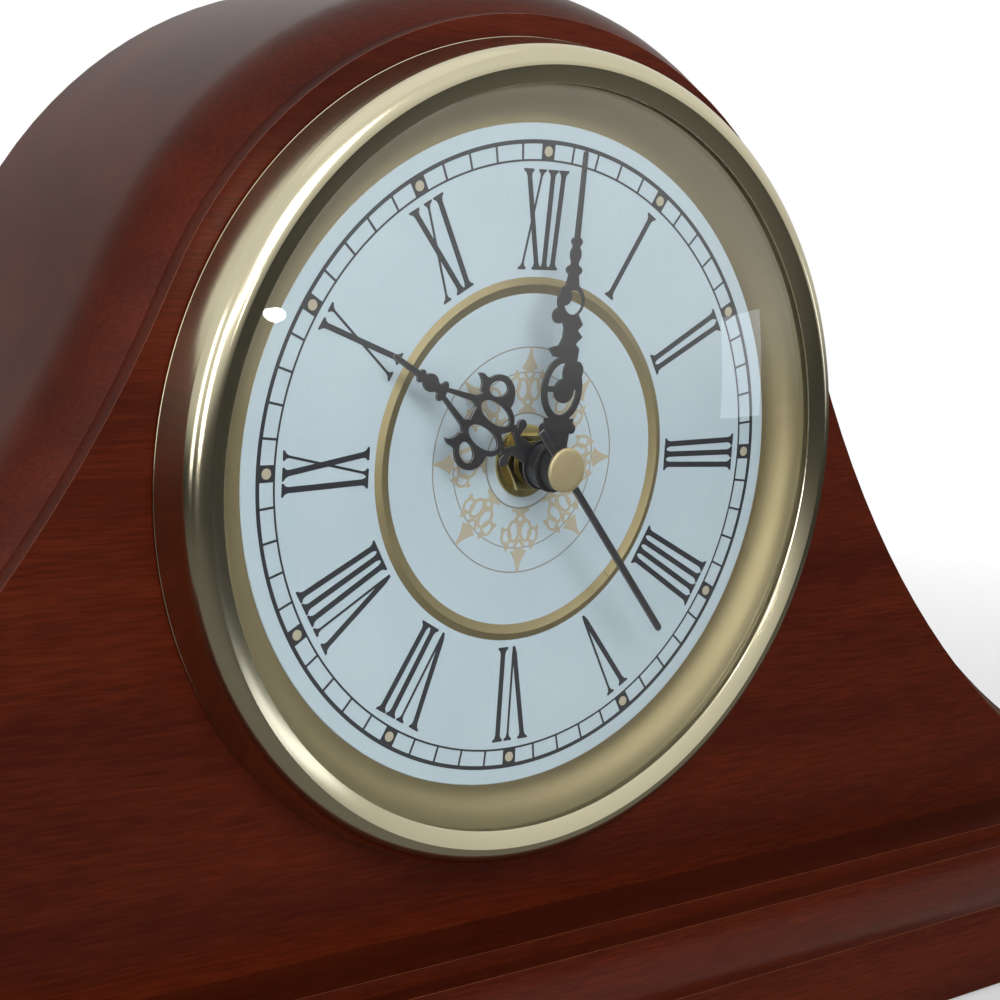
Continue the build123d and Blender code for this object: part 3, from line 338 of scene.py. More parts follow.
cell_low, cell_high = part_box("battery")
cell_sleeve = finish("plastic_cell_sleeve")
where = node(cell_sleeve, "TexCoord").outputs["Object"]
parts = node(cell_sleeve, "SeparateXYZ", {"Vector": where})
band = node(cell_sleeve, "MapRange", {
    "Value": parts.outputs["X"], "From Min": cell_low.x, "From Max": cell_high.x})
shades = node(cell_sleeve, "ValToRGB", {"Fac": band.outputs[0]}, [
    (0.0, colour("#B9BBBC")), (0.03, colour("#22252B")), (0.68, colour("#22252B")),
    (0.70, colour("#B98A3E")), (0.95, colour("#B98A3E")), (0.97, colour("#B9BBBC"))])
scuffs = node(cell_sleeve, "TexNoise", {"Vector": where, "Scale": 300.0, "Detail": 3.0})
gloss = node(cell_sleeve, "MapRange", {"Value": scuffs.outputs["Fac"], "To Min": 0.2, "To Max": 0.38})
surface = node(cell_sleeve, "BsdfPrincipled", {
    "Base Color": shades.outputs["Color"], "Roughness": gloss.outputs[0]})
node(cell_sleeve, "OutputMaterial", {"Surface": surface.outputs[0]})
print("made", coil_wire.name, board_green.name, cell_sleeve.name)

# %% [markdown]
# ## Solids that keep their shape
# Screws, wheels and the small works are already right as construction solids. They stay, and only get
# their finish.

# %% Give the kept solids their finish
kept = {
    pine: ["panel_blocks", "bottom_batten"],
    rubber: ["glass_gasket", "rubber_washer"],
    zinc_steel: ["base_screws", "pan_screws", "hinge_pins", "strike_plate", "second_arbor",
                 "battery_contacts", "stator"],
    hard_brass: ["threaded_bush"],
    black_abs: ["magnet_catch"],
    white_acetal: ["hour_wheel", "motion_wheel", "cannon_pinion", "centre_wheel", "third_wheel",
                   "second_wheel", "link_wheel"],
    ferrite: ["rotor"],
    coil_wire: ["drive_coil"],
    board_green: ["circuit_board"],
    tin_plate: ["quartz_crystal"],
    cell_sleeve: ["battery"],
}
for skin, names in kept.items():
    for name in names:
        frame["nodes"][name].data.materials.clear()
        frame["nodes"][name].data.materials.append(skin)
print("kept", sum(len(names) for names in kept.values()), "solids")

# %% [markdown]
# ## Softened copies
# Wood, hands and hardware need edges that catch the light. Each such solid is copied, its loose triangles
# are merged and cleaned, and a narrow bevel takes the sharpness off. The bevel can carry its own finish,
# as on the hands, where bare metal shows along the stamped edges.


# %% Copy helper
sharp_edge = math.radians(34)      # edges that turn outwards by more than this are bevelled


def dress(piece, skin, body, nodes=(), sharp=32):
    """Shades a finished piece, gives it its skin and ties it to a body of the frame."""
    bpy.ops.object.select_all(action="DESELECT")
    piece.select_set(True)
    bpy.context.view_layer.objects.active = piece
    bpy.ops.object.shade_smooth_by_angle(angle=math.radians(sharp))
    if not piece.data.materials:
        piece.data.materials.append(skin)
    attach(piece, body)
    if nodes:
        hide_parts(*nodes)
    print("dressed", piece.name, "on", body, "faces", len(piece.data.polygons))
    return piece


def softened(source, skin, bevel_mm, edge=None, seam=None, sharp=32, segments=2):
    """A copy of a solid with its sharp edges bevelled, except along a seam with a neighbour."""
    solid = frame["nodes"][source]
    bpy.ops.object.select_all(action="DESELECT")
    solid.select_set(True)
    bpy.context.view_layer.objects.active = solid
    bpy.ops.object.duplicate()
    piece = bpy.context.object
    piece.name = piece.data.name = source + "_finished"
    body = piece["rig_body"]
    del piece["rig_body"], piece["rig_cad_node"]
    bpy.ops.object.parent_clear(type="CLEAR_KEEP_TRANSFORM")
    bpy.ops.mesh.customdata_custom_splitnormals_clear()
    piece.data.materials.clear()
    piece.data.materials.append(skin)
    if edge:
        piece.data.materials.append(edge)
    bpy.ops.object.mode_set(mode="EDIT")
    bpy.ops.mesh.select_all(action="SELECT")
    bpy.ops.mesh.remove_doubles(threshold=0.003 * mm)
    bpy.ops.mesh.dissolve_limited(angle_limit=math.radians(0.2))
    bpy.ops.mesh.select_mode(type="EDGE")
    bpy.ops.mesh.select_all(action="DESELECT")
    mesh = bmesh.from_edit_mesh(piece.data)
    for line in mesh.edges:
        on_seam = seam and all(seam(corner.co / mm) for corner in line.verts)
        if line.is_manifold and line.calc_face_angle_signed() > sharp_edge and not on_seam:
            line.select_set(True)
    bmesh.update_edit_mesh(piece.data)
    bpy.ops.mesh.bevel(offset=bevel_mm * mm, segments=segments, affect="EDGES", clamp_overlap=True,
                       material=1 if edge else -1)
    bpy.ops.mesh.select_mode(type="VERT")
    bpy.ops.object.mode_set(mode="OBJECT")
    dress(piece, skin, body, [source], sharp)
    flat = piece.modifiers.new("flat_faces", "WEIGHTED_NORMAL")
    flat.keep_sharp = True
    bpy.ops.object.modifier_apply(modifier=flat.name)
    return piece


# %% [markdown]
# ## Boards and hardware
# Sanding breaks the edges of a board by a quarter of a millimetre. Their bevels get a paler finish, a
# painted highlight along the arris together with the stain thinned there. The front and the shell meet
# along a glued seam, which stays tight, so the edges on it are left out.

# %% Boards
seam_y = -2.3      # the front board's back
# The paler finish on the bevels is a painted highlight along the arris, with thinner stain
for board in ("front_board", "case_shell"):
    softened(board, mahogany, 0.22, arris_wear_and_highlight,
             seam=lambda place: abs(place.y - seam_y) < 0.05)
# Here too the paler arris finish is a painted highlight, with thinner stain
for board in ("base_moulding", "base_plinth"):
    softened(board, mahogany, 0.25, arris_wear_and_highlight)
for board in ("back_panel", "rear_door"):
    softened(board, hardboard, 0.35)

# %% Hardware and hands
for moulded in ("movement_front", "movement_cover", "setting_knob"):
    softened(moulded, black_abs, 0.25)
for fitting in ("hinge_leaves_fixed", "hinge_leaves_door", "door_knob"):
    softened(fitting, hard_brass, 0.12)
softened("hex_nut", hard_brass, 0.3)
for hand in ("hour_hand", "minute_hand", "second_hand"):
    softened(hand, hand_black, 0.1, bare_edge, segments=1)

# %% [markdown]
# ## Bezel, pan, dial and glass on the lathe
# These are round about the dial's axis, as if turned. A profile is drawn point by point, by extruding one
# vertex, and spun through a full turn. A finer spin than the construction mesh keeps highlights clean.


# %% Lathe helper
def turned(name, profile, steps=192, sweep=360.0):
    """Spins a profile of (radius, depth behind the dial's front) points about the dial's axis."""
    bpy.ops.object.select_all(action="DESELECT")
    bpy.ops.mesh.primitive_plane_add(size=mm)
    piece = bpy.context.object
    piece.name = piece.data.name = name
    bpy.ops.object.mode_set(mode="EDIT")
    bpy.ops.mesh.merge(type="CENTER")
    whole = profile if profile[0][0] == 0 else profile + profile[:1]
    places = [Vector((r, face_y + depth, dial_z)) * mm for r, depth in whole]
    bpy.ops.transform.translate(value=places[0])
    for here, there in zip(places, places[1:]):
        bpy.ops.mesh.extrude_region_move(TRANSFORM_OT_translate={"value": there - here})
    bpy.ops.mesh.select_all(action="SELECT")
    bpy.ops.mesh.remove_doubles(threshold=0.002 * mm)
    bpy.ops.mesh.spin(steps=steps, angle=math.radians(sweep), center=(0, 0, dial_z * mm), axis=(0, 1, 0))
    bpy.ops.mesh.select_all(action="SELECT")
    bpy.ops.mesh.remove_doubles(threshold=0.002 * mm)
    if sweep < 360:
        bpy.ops.mesh.fill_holes(sides=0)
    bpy.ops.mesh.normals_make_consistent(inside=False)
    bpy.ops.object.mode_set(mode="OBJECT")
    return piece


def arc(centre, radius, start, end, count):
    """Points of an arc in the profile plane, angles in degrees from outward towards the front."""
    turns = [math.radians(start + (end - start) * i / count) for i in range(count + 1)]
    return [(centre[0] + radius * math.cos(t), centre[1] - radius * math.sin(t)) for t in turns]


# %% [markdown]
# ## Bezel
# The bezel is a hoop of thin brass with a round shoulder, a rolled lip at the glass and a fine edge at its
# foot. A bent tube would have no lip, so the whole section is drawn, front and back, and spun.

# %% Bezel
shoulder = (76.1, -4.8)      # middle of the bezel's round shoulder
bezel = turned("bezel_spun", [
    (81.4, 1.8), (81.4, 1.73), (81.3, 1.62), *arc(shoulder, 4.0, 0, 90, 16),
    *arc((73.05, -7.3), 0.3, 112, 200, 5), (72.9, -6.95), *arc(shoulder, 3.4, 90, 0, 8), (80.8, 1.8)], 256)
dress(bezel, bezel_brass, "case", ["bezel"], sharp=14)

# %% [markdown]
# ## Pan and dial
# The pan is a spun tray behind the dial. Its wall is a hollow that rises to the glass, and its flange lies
# on the wood under the bezel. The dial is a disc pressed to a shallow dish, so pan and dial share the
# same few radii and sheet thicknesses.

# %% Pan and dial
bore, flat_r, rim_r = 4.1, 24.0, 62.0      # hole for the bush, flat middle and end of the dish
dished, dial_sheet, pan_sheet = 1.3, 0.3, 0.5
pan_front = dished + dial_sheet
pan_back = pan_front + pan_sheet
cove, cove_foot = 6.733, (66.0, dial_sheet)      # hollow that lifts the pan's flat to the glass
hollow = (cove_foot[0], cove_foot[1] - cove)
pan = turned("dial_pan_spun", [
    (bore, pan_front), (flat_r, pan_front), (rim_r, dial_sheet), *arc(hollow, cove, -90, -11.4, 16),
    (76.3, -5.1), (76.5, -4.9), (76.5, 1.8), (80.95, 1.8), (80.95, 2.3), (76.0, 2.3), (76.0, -4.6),
    *arc(hollow, cove + pan_sheet, -15, -90, 8), (rim_r, dial_sheet + pan_sheet), (flat_r, pan_back),
    (bore, pan_back)], 256)
dress(pan, pan_gold, "case", ["dial_pan"], sharp=20)

dial = turned("dial_face_pressed", [
    (bore, dished), (flat_r, dished), (rim_r, 0.0), (65.15, 0.0), (65.3, 0.12), (65.3, dial_sheet),
    (rim_r, dial_sheet), (flat_r, pan_front), (bore, pan_front)], 256)
dress(dial, dial_enamel, "case", ["dial_face"], sharp=20)


def dish(reach):
    """How far the dished dial lies behind its rim at a radius, in millimetres."""
    return dished * min(max((rim_r - reach) / (rim_r - flat_r), 0.0), 1.0)


# %% [markdown]
# ## Ring on the dial
# A strip with a low ridge is bent round and laid on the dial. Its ends meet at the lower right, so the spin
# stops a fifth of a degree short of a full turn and the ring is turned to put the joint there.

# %% Ring on the dial
crest = dish(34.65) - 0.5
strip = turned("dial_ring_bent", [
    (32.85, dish(32.85)), (34.5, crest + 0.046), (34.57, crest + 0.005), (34.7, crest), (34.8, crest + 0.04),
    (36.05, dish(36.05))], 256, sweep=359.8)
about = Matrix.Translation((0, 0, dial_z * mm))
strip.data.transform(about @ Matrix.Rotation(math.radians(46), 4, "Y") @ about.inverted())
dress(strip, pan_gold, "case", ["dial_ring"], sharp=14)

# %% [markdown]
# ## Glass, cap and washer
# A clock glass is a piece of a large blown sphere, so both its faces are arcs about one middle. The cap on
# the seconds hand and the washer round the bush are turned from rod, with their edges rounded.

# %% Glass, cap and washer
dome, dome_middle, sheet, rim = 260.0, 242.775, 1.2, 74.4
front_reach = math.asin(rim / dome)
back_reach = math.asin(rim / (dome - sheet))
front_dome = [(dome * math.sin(front_reach * i / 24), dome_middle - dome * math.cos(front_reach * i / 24))
              for i in range(25)]
back_dome = [((dome - sheet) * math.sin(back_reach * i / 24),
              dome_middle - (dome - sheet) * math.cos(back_reach * i / 24)) for i in range(24, -1, -1)]
glass = turned("glass_dome", front_dome + back_dome, 192)
glass.visible_shadow = False
dress(glass, clear_glass, "case", ["glass"])

cap = turned("second_cap_turned", [
    (0, -12.0), (2.0, -11.98), (3.4, -11.93), *arc((4.1, -11.6), 0.3, 80, 0, 5), (4.4, -11.3),
    (0, -11.3)], 96)
dress(cap, cap_brass, "second", ["second_cap"])

washer = turned("brass_washer_turned", [
    (bore, 0.95), (4.25, 0.8), *arc((7.05, 1.0), 0.2, 90, 0, 4), (7.25, dished), (bore, dished)], 96)
dress(washer, hard_brass, "case", ["brass_washer"])

# %% [markdown]
# ## Printed rings and minute marks
# The minute track is two printed circles with a mark at each minute and a black block with a gold spot at
# each hour. Ink is modelled as a film 0.05 mm proud of the enamel and a little sunk in it, so it never
# floats. Each kind of mark is made once and copied round the dial.

# %% Printing helpers
ink_front, ink_back = -0.05, 0.03


def printed_ring(name, inner, outer, depth=0.0, steps=256):
    """A printed circle on the dial."""
    return turned(name, [(inner, depth + ink_front), (outer, depth + ink_front),
                         (outer, depth + ink_back), (inner, depth + ink_back)], steps)


def printed_plate(name, corners, depth=0.0):
    """A flat printed shape: its (x, z) corners are drawn as an outline, filled and made as thick as ink."""
    bpy.ops.object.select_all(action="DESELECT")
    bpy.ops.mesh.primitive_plane_add(size=mm)
    piece = bpy.context.object
    piece.name = piece.data.name = name
    bpy.ops.object.mode_set(mode="EDIT")
    bpy.ops.mesh.merge(type="CENTER")
    places = [Vector((x, face_y + depth + ink_back, z)) * mm for x, z in corners]
    bpy.ops.transform.translate(value=places[0])
    for here, there in zip(places, places[1:]):
        bpy.ops.mesh.extrude_region_move(TRANSFORM_OT_translate={"value": there - here})
    bpy.ops.mesh.select_all(action="SELECT")
    bpy.ops.mesh.edge_face_add()
    bpy.ops.mesh.extrude_region_move(TRANSFORM_OT_translate={"value": (0, (ink_front - ink_back) * mm, 0)})
    bpy.ops.mesh.select_all(action="SELECT")
    bpy.ops.mesh.normals_make_consistent(inside=False)
    bpy.ops.object.mode_set(mode="OBJECT")
    return piece


def placed(master, matrix):
    """A copy of a master shape with a mesh of its own, moved by a matrix."""
    copy = master.copy()
    copy.data = master.data.copy()
    bpy.context.scene.collection.objects.link(copy)
    copy.data.transform(matrix)
    return copy


def joined(name, pieces):
    """Joins pieces into one object with that name."""
    bpy.ops.object.select_all(action="DESELECT")
    for piece in pieces:
        piece.select_set(True)
    bpy.context.view_layer.objects.active = pieces[0]
    bpy.ops.object.join()
    pieces[0].name = pieces[0].data.name = name
    return pieces[0]


def discard(*masters):
    """Deletes master shapes that have been copied."""
    bpy.ops.object.select_all(action="DESELECT")
    for master in masters:
        master.select_set(True)
    bpy.ops.object.delete()


def round_dial(angle):
    """A turn about the dial's axis, clockwise from twelve, for a shape drawn about the origin."""
    return Matrix.Translation((0, 0, dial_z * mm)) @ Matrix.Rotation(math.radians(angle), 4, "Y")


def on_dish(piece):
    """Lays a flat printed piece on the dished dial."""
    for corner in piece.data.vertices:
        corner.co.y += dish(math.hypot(corner.co.x, corner.co.z - dial_z * mm) / mm) * mm
    return piece


print("printing helpers ready")

# %% Minute track
track = [printed_ring("outer_line", 61.4, 62.2), printed_ring("inner_line", 58.1, 58.5)]
mark_in, mark_out = 58.3, 61.8
tick = printed_plate("tick", [
    (-0.23, mark_in), (0.23, mark_in), (0.23, mark_out), (-0.23, mark_out)])
block = printed_plate("block", [
    (-1.55, mark_in), (1.55, mark_in), (1.62, mark_out), (-1.62, mark_out)])
for minute in range(60):
    track.append(placed(tick if minute % 5 else block, round_dial(6 * minute)))
discard(tick, block)
dress(on_dish(joined("minute_track", track)), black_ink, "case", sharp=20)

spots_r, spot_r = 60.0, 1.0
turns = [i * math.pi / 12 for i in range(24)]
spot_corners = [(spot_r * math.cos(t), spots_r + spot_r * math.sin(t)) for t in turns]
spot = printed_plate("spot", spot_corners, -0.04)
spots = [placed(spot, round_dial(30 * hour)) for hour in range(12)]
discard(spot)
dress(on_dish(joined("hour_spots", spots)), gold_ink, "case", sharp=20)

# %% [markdown]
# ## Roman numerals
# The hours are tall Roman numerals that stand with their feet towards the middle, in thick and thin
# strokes with bracketed serifs. A stroke is drawn once as thick and once as thin, and once more of each
# with a bare point for the foot of the V. The letters are these strokes, slanted and spaced.

# %% Strokes
foot_r, head_r = 37.4, 56.6
tall = head_r - foot_r


def stroke(name, wide, serif, pointed):
    """An upright stroke on the twelve o'clock line, as a half outline that is mirrored."""
    half_outline = [(serif / 2, 0.0), (serif / 2, 0.4), (wide / 2 + 0.22, 0.75), (wide / 2, 1.4)]
    foot = [(wide / 4, 0.0), (wide / 2, 1.4)] if pointed else half_outline
    right = [(x, foot_r + z) for x, z in foot] + [(x, head_r - z) for x, z in reversed(half_outline)]
    return printed_plate(name, right + [(-x, z) for x, z in reversed(right)])


thick, thin = stroke("thick", 1.15, 2.5, False), stroke("thin", 0.5, 1.9, False)
thick_point, thin_point = stroke("thick_point", 1.15, 2.5, True), stroke("thin_point", 0.5, 1.9, True)

# %% Letters


def letters(numeral):
    """The strokes of a numeral as (shape, place of the head, place of the foot), from its left end."""
    strokes, at, last = [], 0.0, ""
    for letter in numeral:
        if last:
            at += {"II": 2.7, "IV": 2.9, "IX": 2.9}.get(last + letter, 2.6)
        if letter == "I":
            strokes.append((thick, at, at))
        elif letter == "V":
            strokes += [(thick_point, at, at + 3.1), (thin_point, at + 3.9, at + 3.2)]
            at += 3.9
        else:
            strokes += [(thick, at, at + 3.9), (thin, at + 3.5, at - 1.0)]
            at += 3.5
        last = letter
    middle = at / 2
    return [(shape, head - middle, (foot - middle) * 0.78) for shape, head, foot in strokes]


numerals = []
for hour, numeral in enumerate(("XII", "I", "II", "III", "IIII", "V", "VI", "VII", "VIII", "IX", "X", "XI")):
    for shape, head, foot in letters(numeral):
        lean = (head - foot) / tall
        slant = Matrix(((1, 0, lean, (foot - lean * foot_r) * mm), (0, 1, 0, 0), (0, 0, 1, 0), (0, 0, 0, 1)))
        numerals.append(placed(shape, round_dial(30 * hour) @ slant))
discard(thick, thin, thick_point, thin_point)
dress(on_dish(joined("hour_numerals", numerals)), black_ink, "case", sharp=20)

# %% [markdown]
# ## Rosette
# The middle of the dial carries a traditional ring of eight gold motifs: paired loops on a flared foot,
# two pierced diamonds and a spear whose point touches the outer circle. One motif is built from flat
# hoops and plates and copied round.

# %% Hoop helper
deep = dished      # the rosette lies in the flat middle of the dish


def loop(name, x, z, half_wide, half_tall, line, sides=28):
    """A flat hoop of the rosette: two outlines bridged, thickened and stood on the dial."""
    bpy.ops.object.select_all(action="DESELECT")
    bpy.ops.mesh.primitive_circle_add(vertices=sides, radius=1.0)
    hoop = bpy.context.object
    hoop.name = hoop.data.name = name
    bpy.ops.object.mode_set(mode="EDIT")
    bpy.ops.transform.resize(value=(half_wide * mm, half_tall * mm, 1.0))
    bpy.ops.mesh.duplicate()
    bpy.ops.transform.resize(value=(1 - line / half_wide, 1 - line / half_tall, 1.0))
    bpy.ops.mesh.select_all(action="SELECT")
    bpy.ops.mesh.bridge_edge_loops()
    bpy.ops.mesh.select_all(action="SELECT")
    bpy.ops.mesh.extrude_region_move(TRANSFORM_OT_translate={"value": (0, 0, (ink_back - ink_front) * mm)})
    bpy.ops.mesh.select_all(action="SELECT")
    bpy.ops.mesh.normals_make_consistent(inside=False)
    bpy.ops.object.mode_set(mode="OBJECT")
    stand = Matrix.Translation(Vector((x, face_y + deep + ink_back, z)) * mm)
    hoop.data.transform(stand @ Matrix.Rotation(math.radians(90), 4, "X"))
    return hoop


def both_sides(half):
    """An outline from its right half, listed from the foot up."""
    return half + [(-x, z) for x, z in reversed(half)]


# %% Rosette
spear = printed_plate("spear", both_sides([
    (0.5, 17.7), (1.2, 17.9), (2.05, 18.2), (1.6, 18.8), (1.15, 19.5), (0.75, 20.3), (0.42, 21.3),
    (0.22, 22.4)]), deep)
foot = printed_plate("foot", both_sides([(2.3, 9.6), (2.1, 10.1), (1.2, 10.4), (0.75, 11.2)]), deep)
halves = []
for side in (-1, 1):
    halves += [
        loop("tall_loop", 1.5 * side, 14.1, 1.62, 2.35, 0.66),
        loop("side_loop", 3.35 * side, 15.1, 1.4, 1.75, 0.56, 26),
        loop("shoulder", 3.2 * side, 17.0, 0.75, 1.1, 0.74, 4),
        loop("bud", 4.35 * side, 13.6, 0.4, 0.6, 0.39, 12)]
layers = halves + [
    spear, foot, loop("upper_diamond", 0, 17.0, 1.5, 1.5, 0.75, 4),
    loop("lower_diamond", 0, 11.6, 1.5, 1.5, 0.8, 4)]
layer_step = -0.004      # so that no two share a plane
for layer, piece in enumerate(layers):
    piece.data.transform(Matrix.Translation((0, layer_step * layer * mm, 0)))
motif = joined("motif", layers)
rosette = [placed(motif, round_dial(45 * i)) for i in range(8)]
discard(motif)
dress(joined("dial_rosette", rosette), gold_ink, "case", sharp=20)
circles = [printed_ring("inner_circle", 9.3, 9.65, deep), printed_ring("middle_circle", 17.4, 17.6, deep),
           printed_ring("outer_circle", 22.25, 22.5, deep)]
dress(joined("dial_circles", circles), line_ink, "case", sharp=20)

# %% [markdown]
# ## Slotted screws on the back
# The panel is held by round-head wood screws. A copy of the solids gets a slot across each head, cut with
# a boolean. The slots stand at different angles, as screws do.

# %% Panel screws
back_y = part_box("panel_screws")[1].y / mm
screws = softened("panel_screws", zinc_steel, 0.2)
bpy.ops.object.select_all(action="DESELECT")
bpy.ops.mesh.primitive_cube_add(size=1.0)
cutter = bpy.context.object
bpy.ops.object.mode_set(mode="EDIT")
bpy.ops.transform.resize(value=(9 * mm, 1.6 * mm, 0.9 * mm))
bpy.ops.object.mode_set(mode="OBJECT")
head_wide = 8.0      # no screw head is wider
heads = []
for corner in frame["nodes"]["panel_screws"].data.vertices:
    if corner.co.y / mm > back_y - 1.0:
        near = [head for head in heads if (head[0] - corner.co).length < head_wide * mm]
        if near:
            near[0].append(corner.co)
        else:
            heads.append([corner.co])
slots = []
for i, head in enumerate(heads):
    middle = sum(head, Vector()) / len(head)
    turn = Matrix.Rotation(math.radians(25 + 47 * i), 4, "Y")
    slots.append(placed(cutter, Matrix.Translation((middle.x, back_y * mm, middle.z)) @ turn))
discard(cutter)
slots = joined("screw_slots", slots)
cut = screws.modifiers.new("slots", "BOOLEAN")
cut.object = slots
cut.operation = "DIFFERENCE"
bpy.ops.object.select_all(action="DESELECT")
bpy.context.view_layer.objects.active = screws
bpy.ops.object.modifier_apply(modifier=cut.name)
discard(slots)
print("slotted", len(heads), "screws")

# %% [markdown]
# ## Felt under the plinth
# A sheet of felt is glued under the plinth. It is a grid with a thickness, slightly uneven at its cut
# edge and faintly lumpy.

# %% Felt
felt_low, felt_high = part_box("felt_sheet")
bpy.ops.object.select_all(action="DESELECT")
bpy.ops.mesh.primitive_grid_add(x_subdivisions=120, y_subdivisions=28, size=1.0)
felt = bpy.context.object
felt.name = felt.data.name = "felt_laid"
bpy.ops.object.mode_set(mode="EDIT")
bpy.ops.transform.resize(value=(felt_high.x - felt_low.x, felt_high.y - felt_low.y, 1.0))
felt_middle = ((felt_low.x + felt_high.x) / 2, (felt_low.y + felt_high.y) / 2, felt_high.z)
bpy.ops.transform.translate(value=felt_middle)
bpy.ops.mesh.extrude_region_move(TRANSFORM_OT_translate={"value": (0, 0, felt_low.z - felt_high.z)})
bpy.ops.mesh.select_all(action="SELECT")
bpy.ops.mesh.normals_make_consistent(inside=False)
bpy.ops.object.mode_set(mode="OBJECT")
for corner in felt.data.vertices:
    x, y = corner.co.x / mm, corner.co.y / mm
    if corner.co.z < felt_high.z - 0.5 * mm:
        corner.co.z += 0.06 * mm * (1 + math.sin(0.9 * x + 1.3 * math.sin(0.7 * y)))
    if abs(y) > 46:
        corner.co.y -= math.copysign(0.2 * mm * (1 + math.sin(0.8 * x)), y)
dress(felt, green_felt, "case", ["felt_sheet"])

# %% [markdown]
# ## Floor
# A sheet of pale paper stands for the table of a small photo studio. A real sheet would look grey at its
# far end, so it is lifted to white with the distance from the clock, and keeps the shadow close by.

# %% Floor
bpy.ops.object.select_all(action="DESELECT")
bpy.ops.mesh.primitive_grid_add(x_subdivisions=8, y_subdivisions=8, size=6.0, location=(0, 0, 0))
floor = bpy.context.object
floor.name = floor.data.name = "studio_floor"
bpy.ops.object.mode_set(mode="EDIT")
bpy.ops.transform.translate(value=(0, 0, -0.0002))
bpy.ops.object.mode_set(mode="OBJECT")
pale_floor = finish("pale_studio_paper")
path = node(pale_floor, "LightPath")
where = node(pale_floor, "TexCoord").outputs["Object"]
tooth = node(pale_floor, "TexNoise", {"Vector": where, "Scale": 400.0, "Detail": 3.0})
paper_tone = node(pale_floor, "ValToRGB", {"Fac": tooth.outputs["Fac"]},
                  [(0.3, colour("#E6E5E3")), (0.7, colour("#ECEBE9"))])
paper = node(pale_floor, "BsdfDiffuse", {"Color": paper_tone.outputs["Color"]})
glow = node(pale_floor, "Emission", {"Color": colour("#FFFFFF"), "Strength": 1.0})
reach = node(pale_floor, "VectorMath", {0: where}, operation="LENGTH")
fade = node(pale_floor, "MapRange", {"Value": reach.outputs["Value"], "From Min": 0.2, "From Max": 0.7,
                                     "To Min": 0.3, "To Max": 1.0})
share = node(pale_floor, "Math", {0: path.outputs["Is Camera Ray"], 1: fade.outputs[0]}, operation="MULTIPLY")
lifted = node(pale_floor, "MixShader", {0: share.outputs[0], 1: paper.outputs[0], 2: glow.outputs[0]})
node(pale_floor, "OutputMaterial", {"Surface": lifted.outputs[0]})
floor.data.materials.append(pale_floor)

# %% [markdown]
# ## Dark bowl
# Polished brass and glass only look right when they have something dark to mirror. A photographer lays
# dark cloth in front and stands dark screens around. Here that is one bowl, a floor and a wall spun from
# a profile, that is seen only in mirrors and through the glass, so it doesn't change the light on the
# clock. It is lighter close by and towards its top.

# %% Bowl
bpy.ops.object.select_all(action="DESELECT")
bpy.ops.mesh.primitive_plane_add(size=0.01)
bowl = bpy.context.object
bowl.name = bowl.data.name = "dark_bowl"
bpy.ops.object.mode_set(mode="EDIT")
bpy.ops.mesh.merge(type="CENTER")
bpy.ops.transform.translate(value=(0.05, 0, -0.0001))
bpy.ops.mesh.extrude_region_move(TRANSFORM_OT_translate={"value": (1.95, 0, 0)})
bpy.ops.mesh.extrude_region_move(TRANSFORM_OT_translate={"value": (0, 0, 4.0)})
bpy.ops.mesh.select_all(action="SELECT")
bpy.ops.mesh.spin(steps=48, angle=2 * math.pi, center=(0, 0, 0), axis=(0, 0, 1))
bpy.ops.mesh.select_all(action="SELECT")
bpy.ops.mesh.remove_doubles(threshold=0.0001)
bpy.ops.object.mode_set(mode="OBJECT")
dark_cloth = finish("dark_cloth")
where = node(dark_cloth, "TexCoord").outputs["Object"]
parts = node(dark_cloth, "SeparateXYZ", {"Vector": where})
flat = node(dark_cloth, "Mapping", {"Vector": where, "Scale": (1, 1, 0)})
reach = node(dark_cloth, "VectorMath", {0: flat.outputs[0]}, operation="LENGTH")
spread = node(dark_cloth, "ValToRGB", {"Fac": reach.outputs["Value"]},
              [(0.2, (0.17, 0.165, 0.15, 1)), (0.6, (0.04, 0.04, 0.036, 1))])
rise = node(dark_cloth, "ValToRGB", {"Fac": parts.outputs["Z"]},
            [(0.05, (0.10, 0.10, 0.09, 1)), (1.0, (0.85, 0.85, 0.82, 1)), (0.3, (0.6, 0.6, 0.56, 1))])
on_wall = node(dark_cloth, "Math", {0: parts.outputs["Z"], 1: 0.001}, operation="GREATER_THAN")
shade = node(dark_cloth, "Mix", {0: on_wall.outputs[0], 6: spread.outputs["Color"], 7: rise.outputs["Color"]},
             data_type="RGBA")
path = node(dark_cloth, "LightPath")
fresh = node(dark_cloth, "Math", {0: path.outputs["Diffuse Depth"], 1: 0.5}, operation="LESS_THAN")
glow = node(dark_cloth, "Emission", {"Color": shade.outputs[2], "Strength": fresh.outputs[0]})
node(dark_cloth, "OutputMaterial", {"Surface": glow.outputs[0]})
bowl.data.materials.append(dark_cloth)
bowl.visible_camera = bowl.visible_diffuse = bowl.visible_shadow = False
print("bowl spans", [[round(c, 2) for c in corner] for corner in (bowl.bound_box[0], bowl.bound_box[6])])

# %% [markdown]
# ## Lamps
# The light is soft and comes from the front and the left. A broad lamp stands in front, a tall narrow one
# at the left draws a sheen on the round edges, and a weak one at the side lights the shell. A window at
# the right and a small round lamp are there for the two reflections in the glass.

# %% Lamps
clock_middle = (0, 0, 0.12)


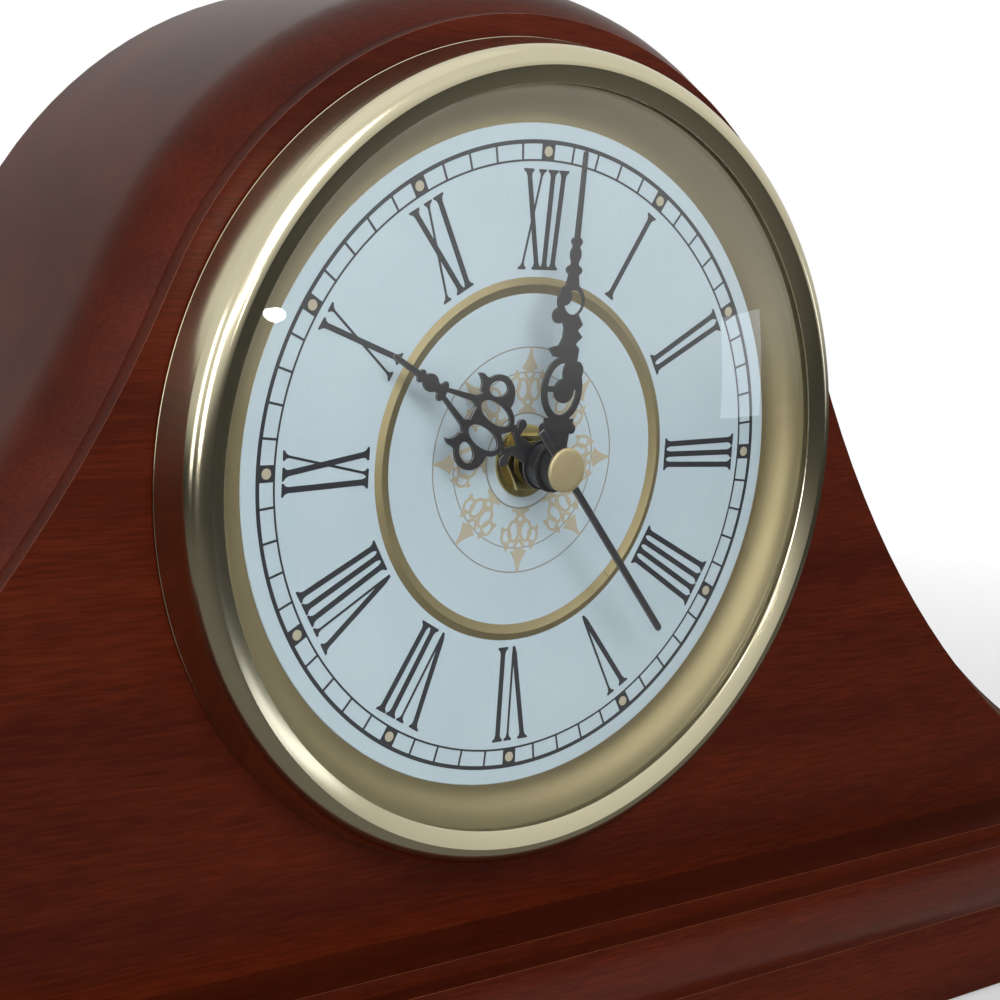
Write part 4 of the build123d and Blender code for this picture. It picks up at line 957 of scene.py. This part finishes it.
def soft_lamp(name, place, aim, wide, high, watts, tint, shape="RECTANGLE"):
    """A flat lamp at a place, facing a point."""
    lamp = bpy.data.objects.new(name, bpy.data.lights.new(name, "AREA"))
    bpy.context.scene.collection.objects.link(lamp)
    lamp.data.shape = shape
    lamp.data.size, lamp.data.size_y = wide, high
    lamp.data.energy = watts
    lamp.data.color = colour(tint)[:3]
    lamp.location = place
    lamp.rotation_euler = (Vector(aim) - Vector(place)).to_track_quat("-Z", "Y").to_euler()
    lamp.visible_camera = lamp.visible_transmission = False
    print("lamp", name, "at", place)
    return lamp


soft_lamp("key_lamp", (-0.25, -1.1, 0.78), clock_middle, 0.7, 0.6, 10.0, "#FFFFFF")
soft_lamp("left_lamp", (-0.83, -0.98, 0.34), clock_middle, 0.22, 0.5, 5.2, "#FFFFFF")
soft_lamp("side_lamp", (-1.25, -0.35, 0.35), clock_middle, 0.3, 0.8, 2.2, "#FFFFFF")
soft_lamp("window_lamp", (1.413, -0.652, 0.16), (0.045, -0.037, 0.15), 0.2, 0.24, 0.3, "#EAF2FF")
soft_lamp("spot_lamp", (0.014, -1.32, 0.343), (-0.064, -0.032, 0.158), 0.055, 0.036, 0.25, "#FFFFFF",
          "ELLIPSE")

# %% [markdown]
# ## World
# The background is white to the eye, in mirrors and through the glass. A wholly white world would wash the
# colours out, so dull surfaces get only a gentle fill from it.

# %% World
fill_level = 0.42
world = bpy.data.worlds.new("studio_world")
world.use_nodes = True
world.node_tree.nodes.clear()
bpy.context.scene.world = world
path = node(world, "LightPath")
seen = node(world, "Math", {0: path.outputs["Is Camera Ray"], 1: path.outputs["Is Glossy Ray"]},
            operation="MAXIMUM")
seen = node(world, "Math", {0: seen.outputs[0], 1: path.outputs["Is Transmission Ray"]}, operation="MAXIMUM")
fresh = node(world, "Math", {0: path.outputs["Diffuse Depth"], 1: 0.5}, operation="LESS_THAN")
seen = node(world, "Math", {0: seen.outputs[0], 1: fresh.outputs[0]}, operation="MULTIPLY")
through = node(world, "Math", {0: 1.0, 1: path.outputs["Is Transmission Ray"]}, operation="SUBTRACT")
level = node(world, "Math", {0: through.outputs[0], 1: fill_level}, operation="MULTIPLY")
white = node(world, "Background", {"Color": colour("#FFFFFF"), "Strength": 1.0})
fill = node(world, "Background", {"Color": colour("#EEF3F8"), "Strength": level.outputs[0]})
mixed = node(world, "MixShader", {0: seen.outputs[0], 1: fill.outputs[0], 2: white.outputs[0]})
node(world, "OutputWorld", {"Surface": mixed.outputs[0]})
bpy.context.scene.view_settings.view_transform = "Standard"
print("world ready")
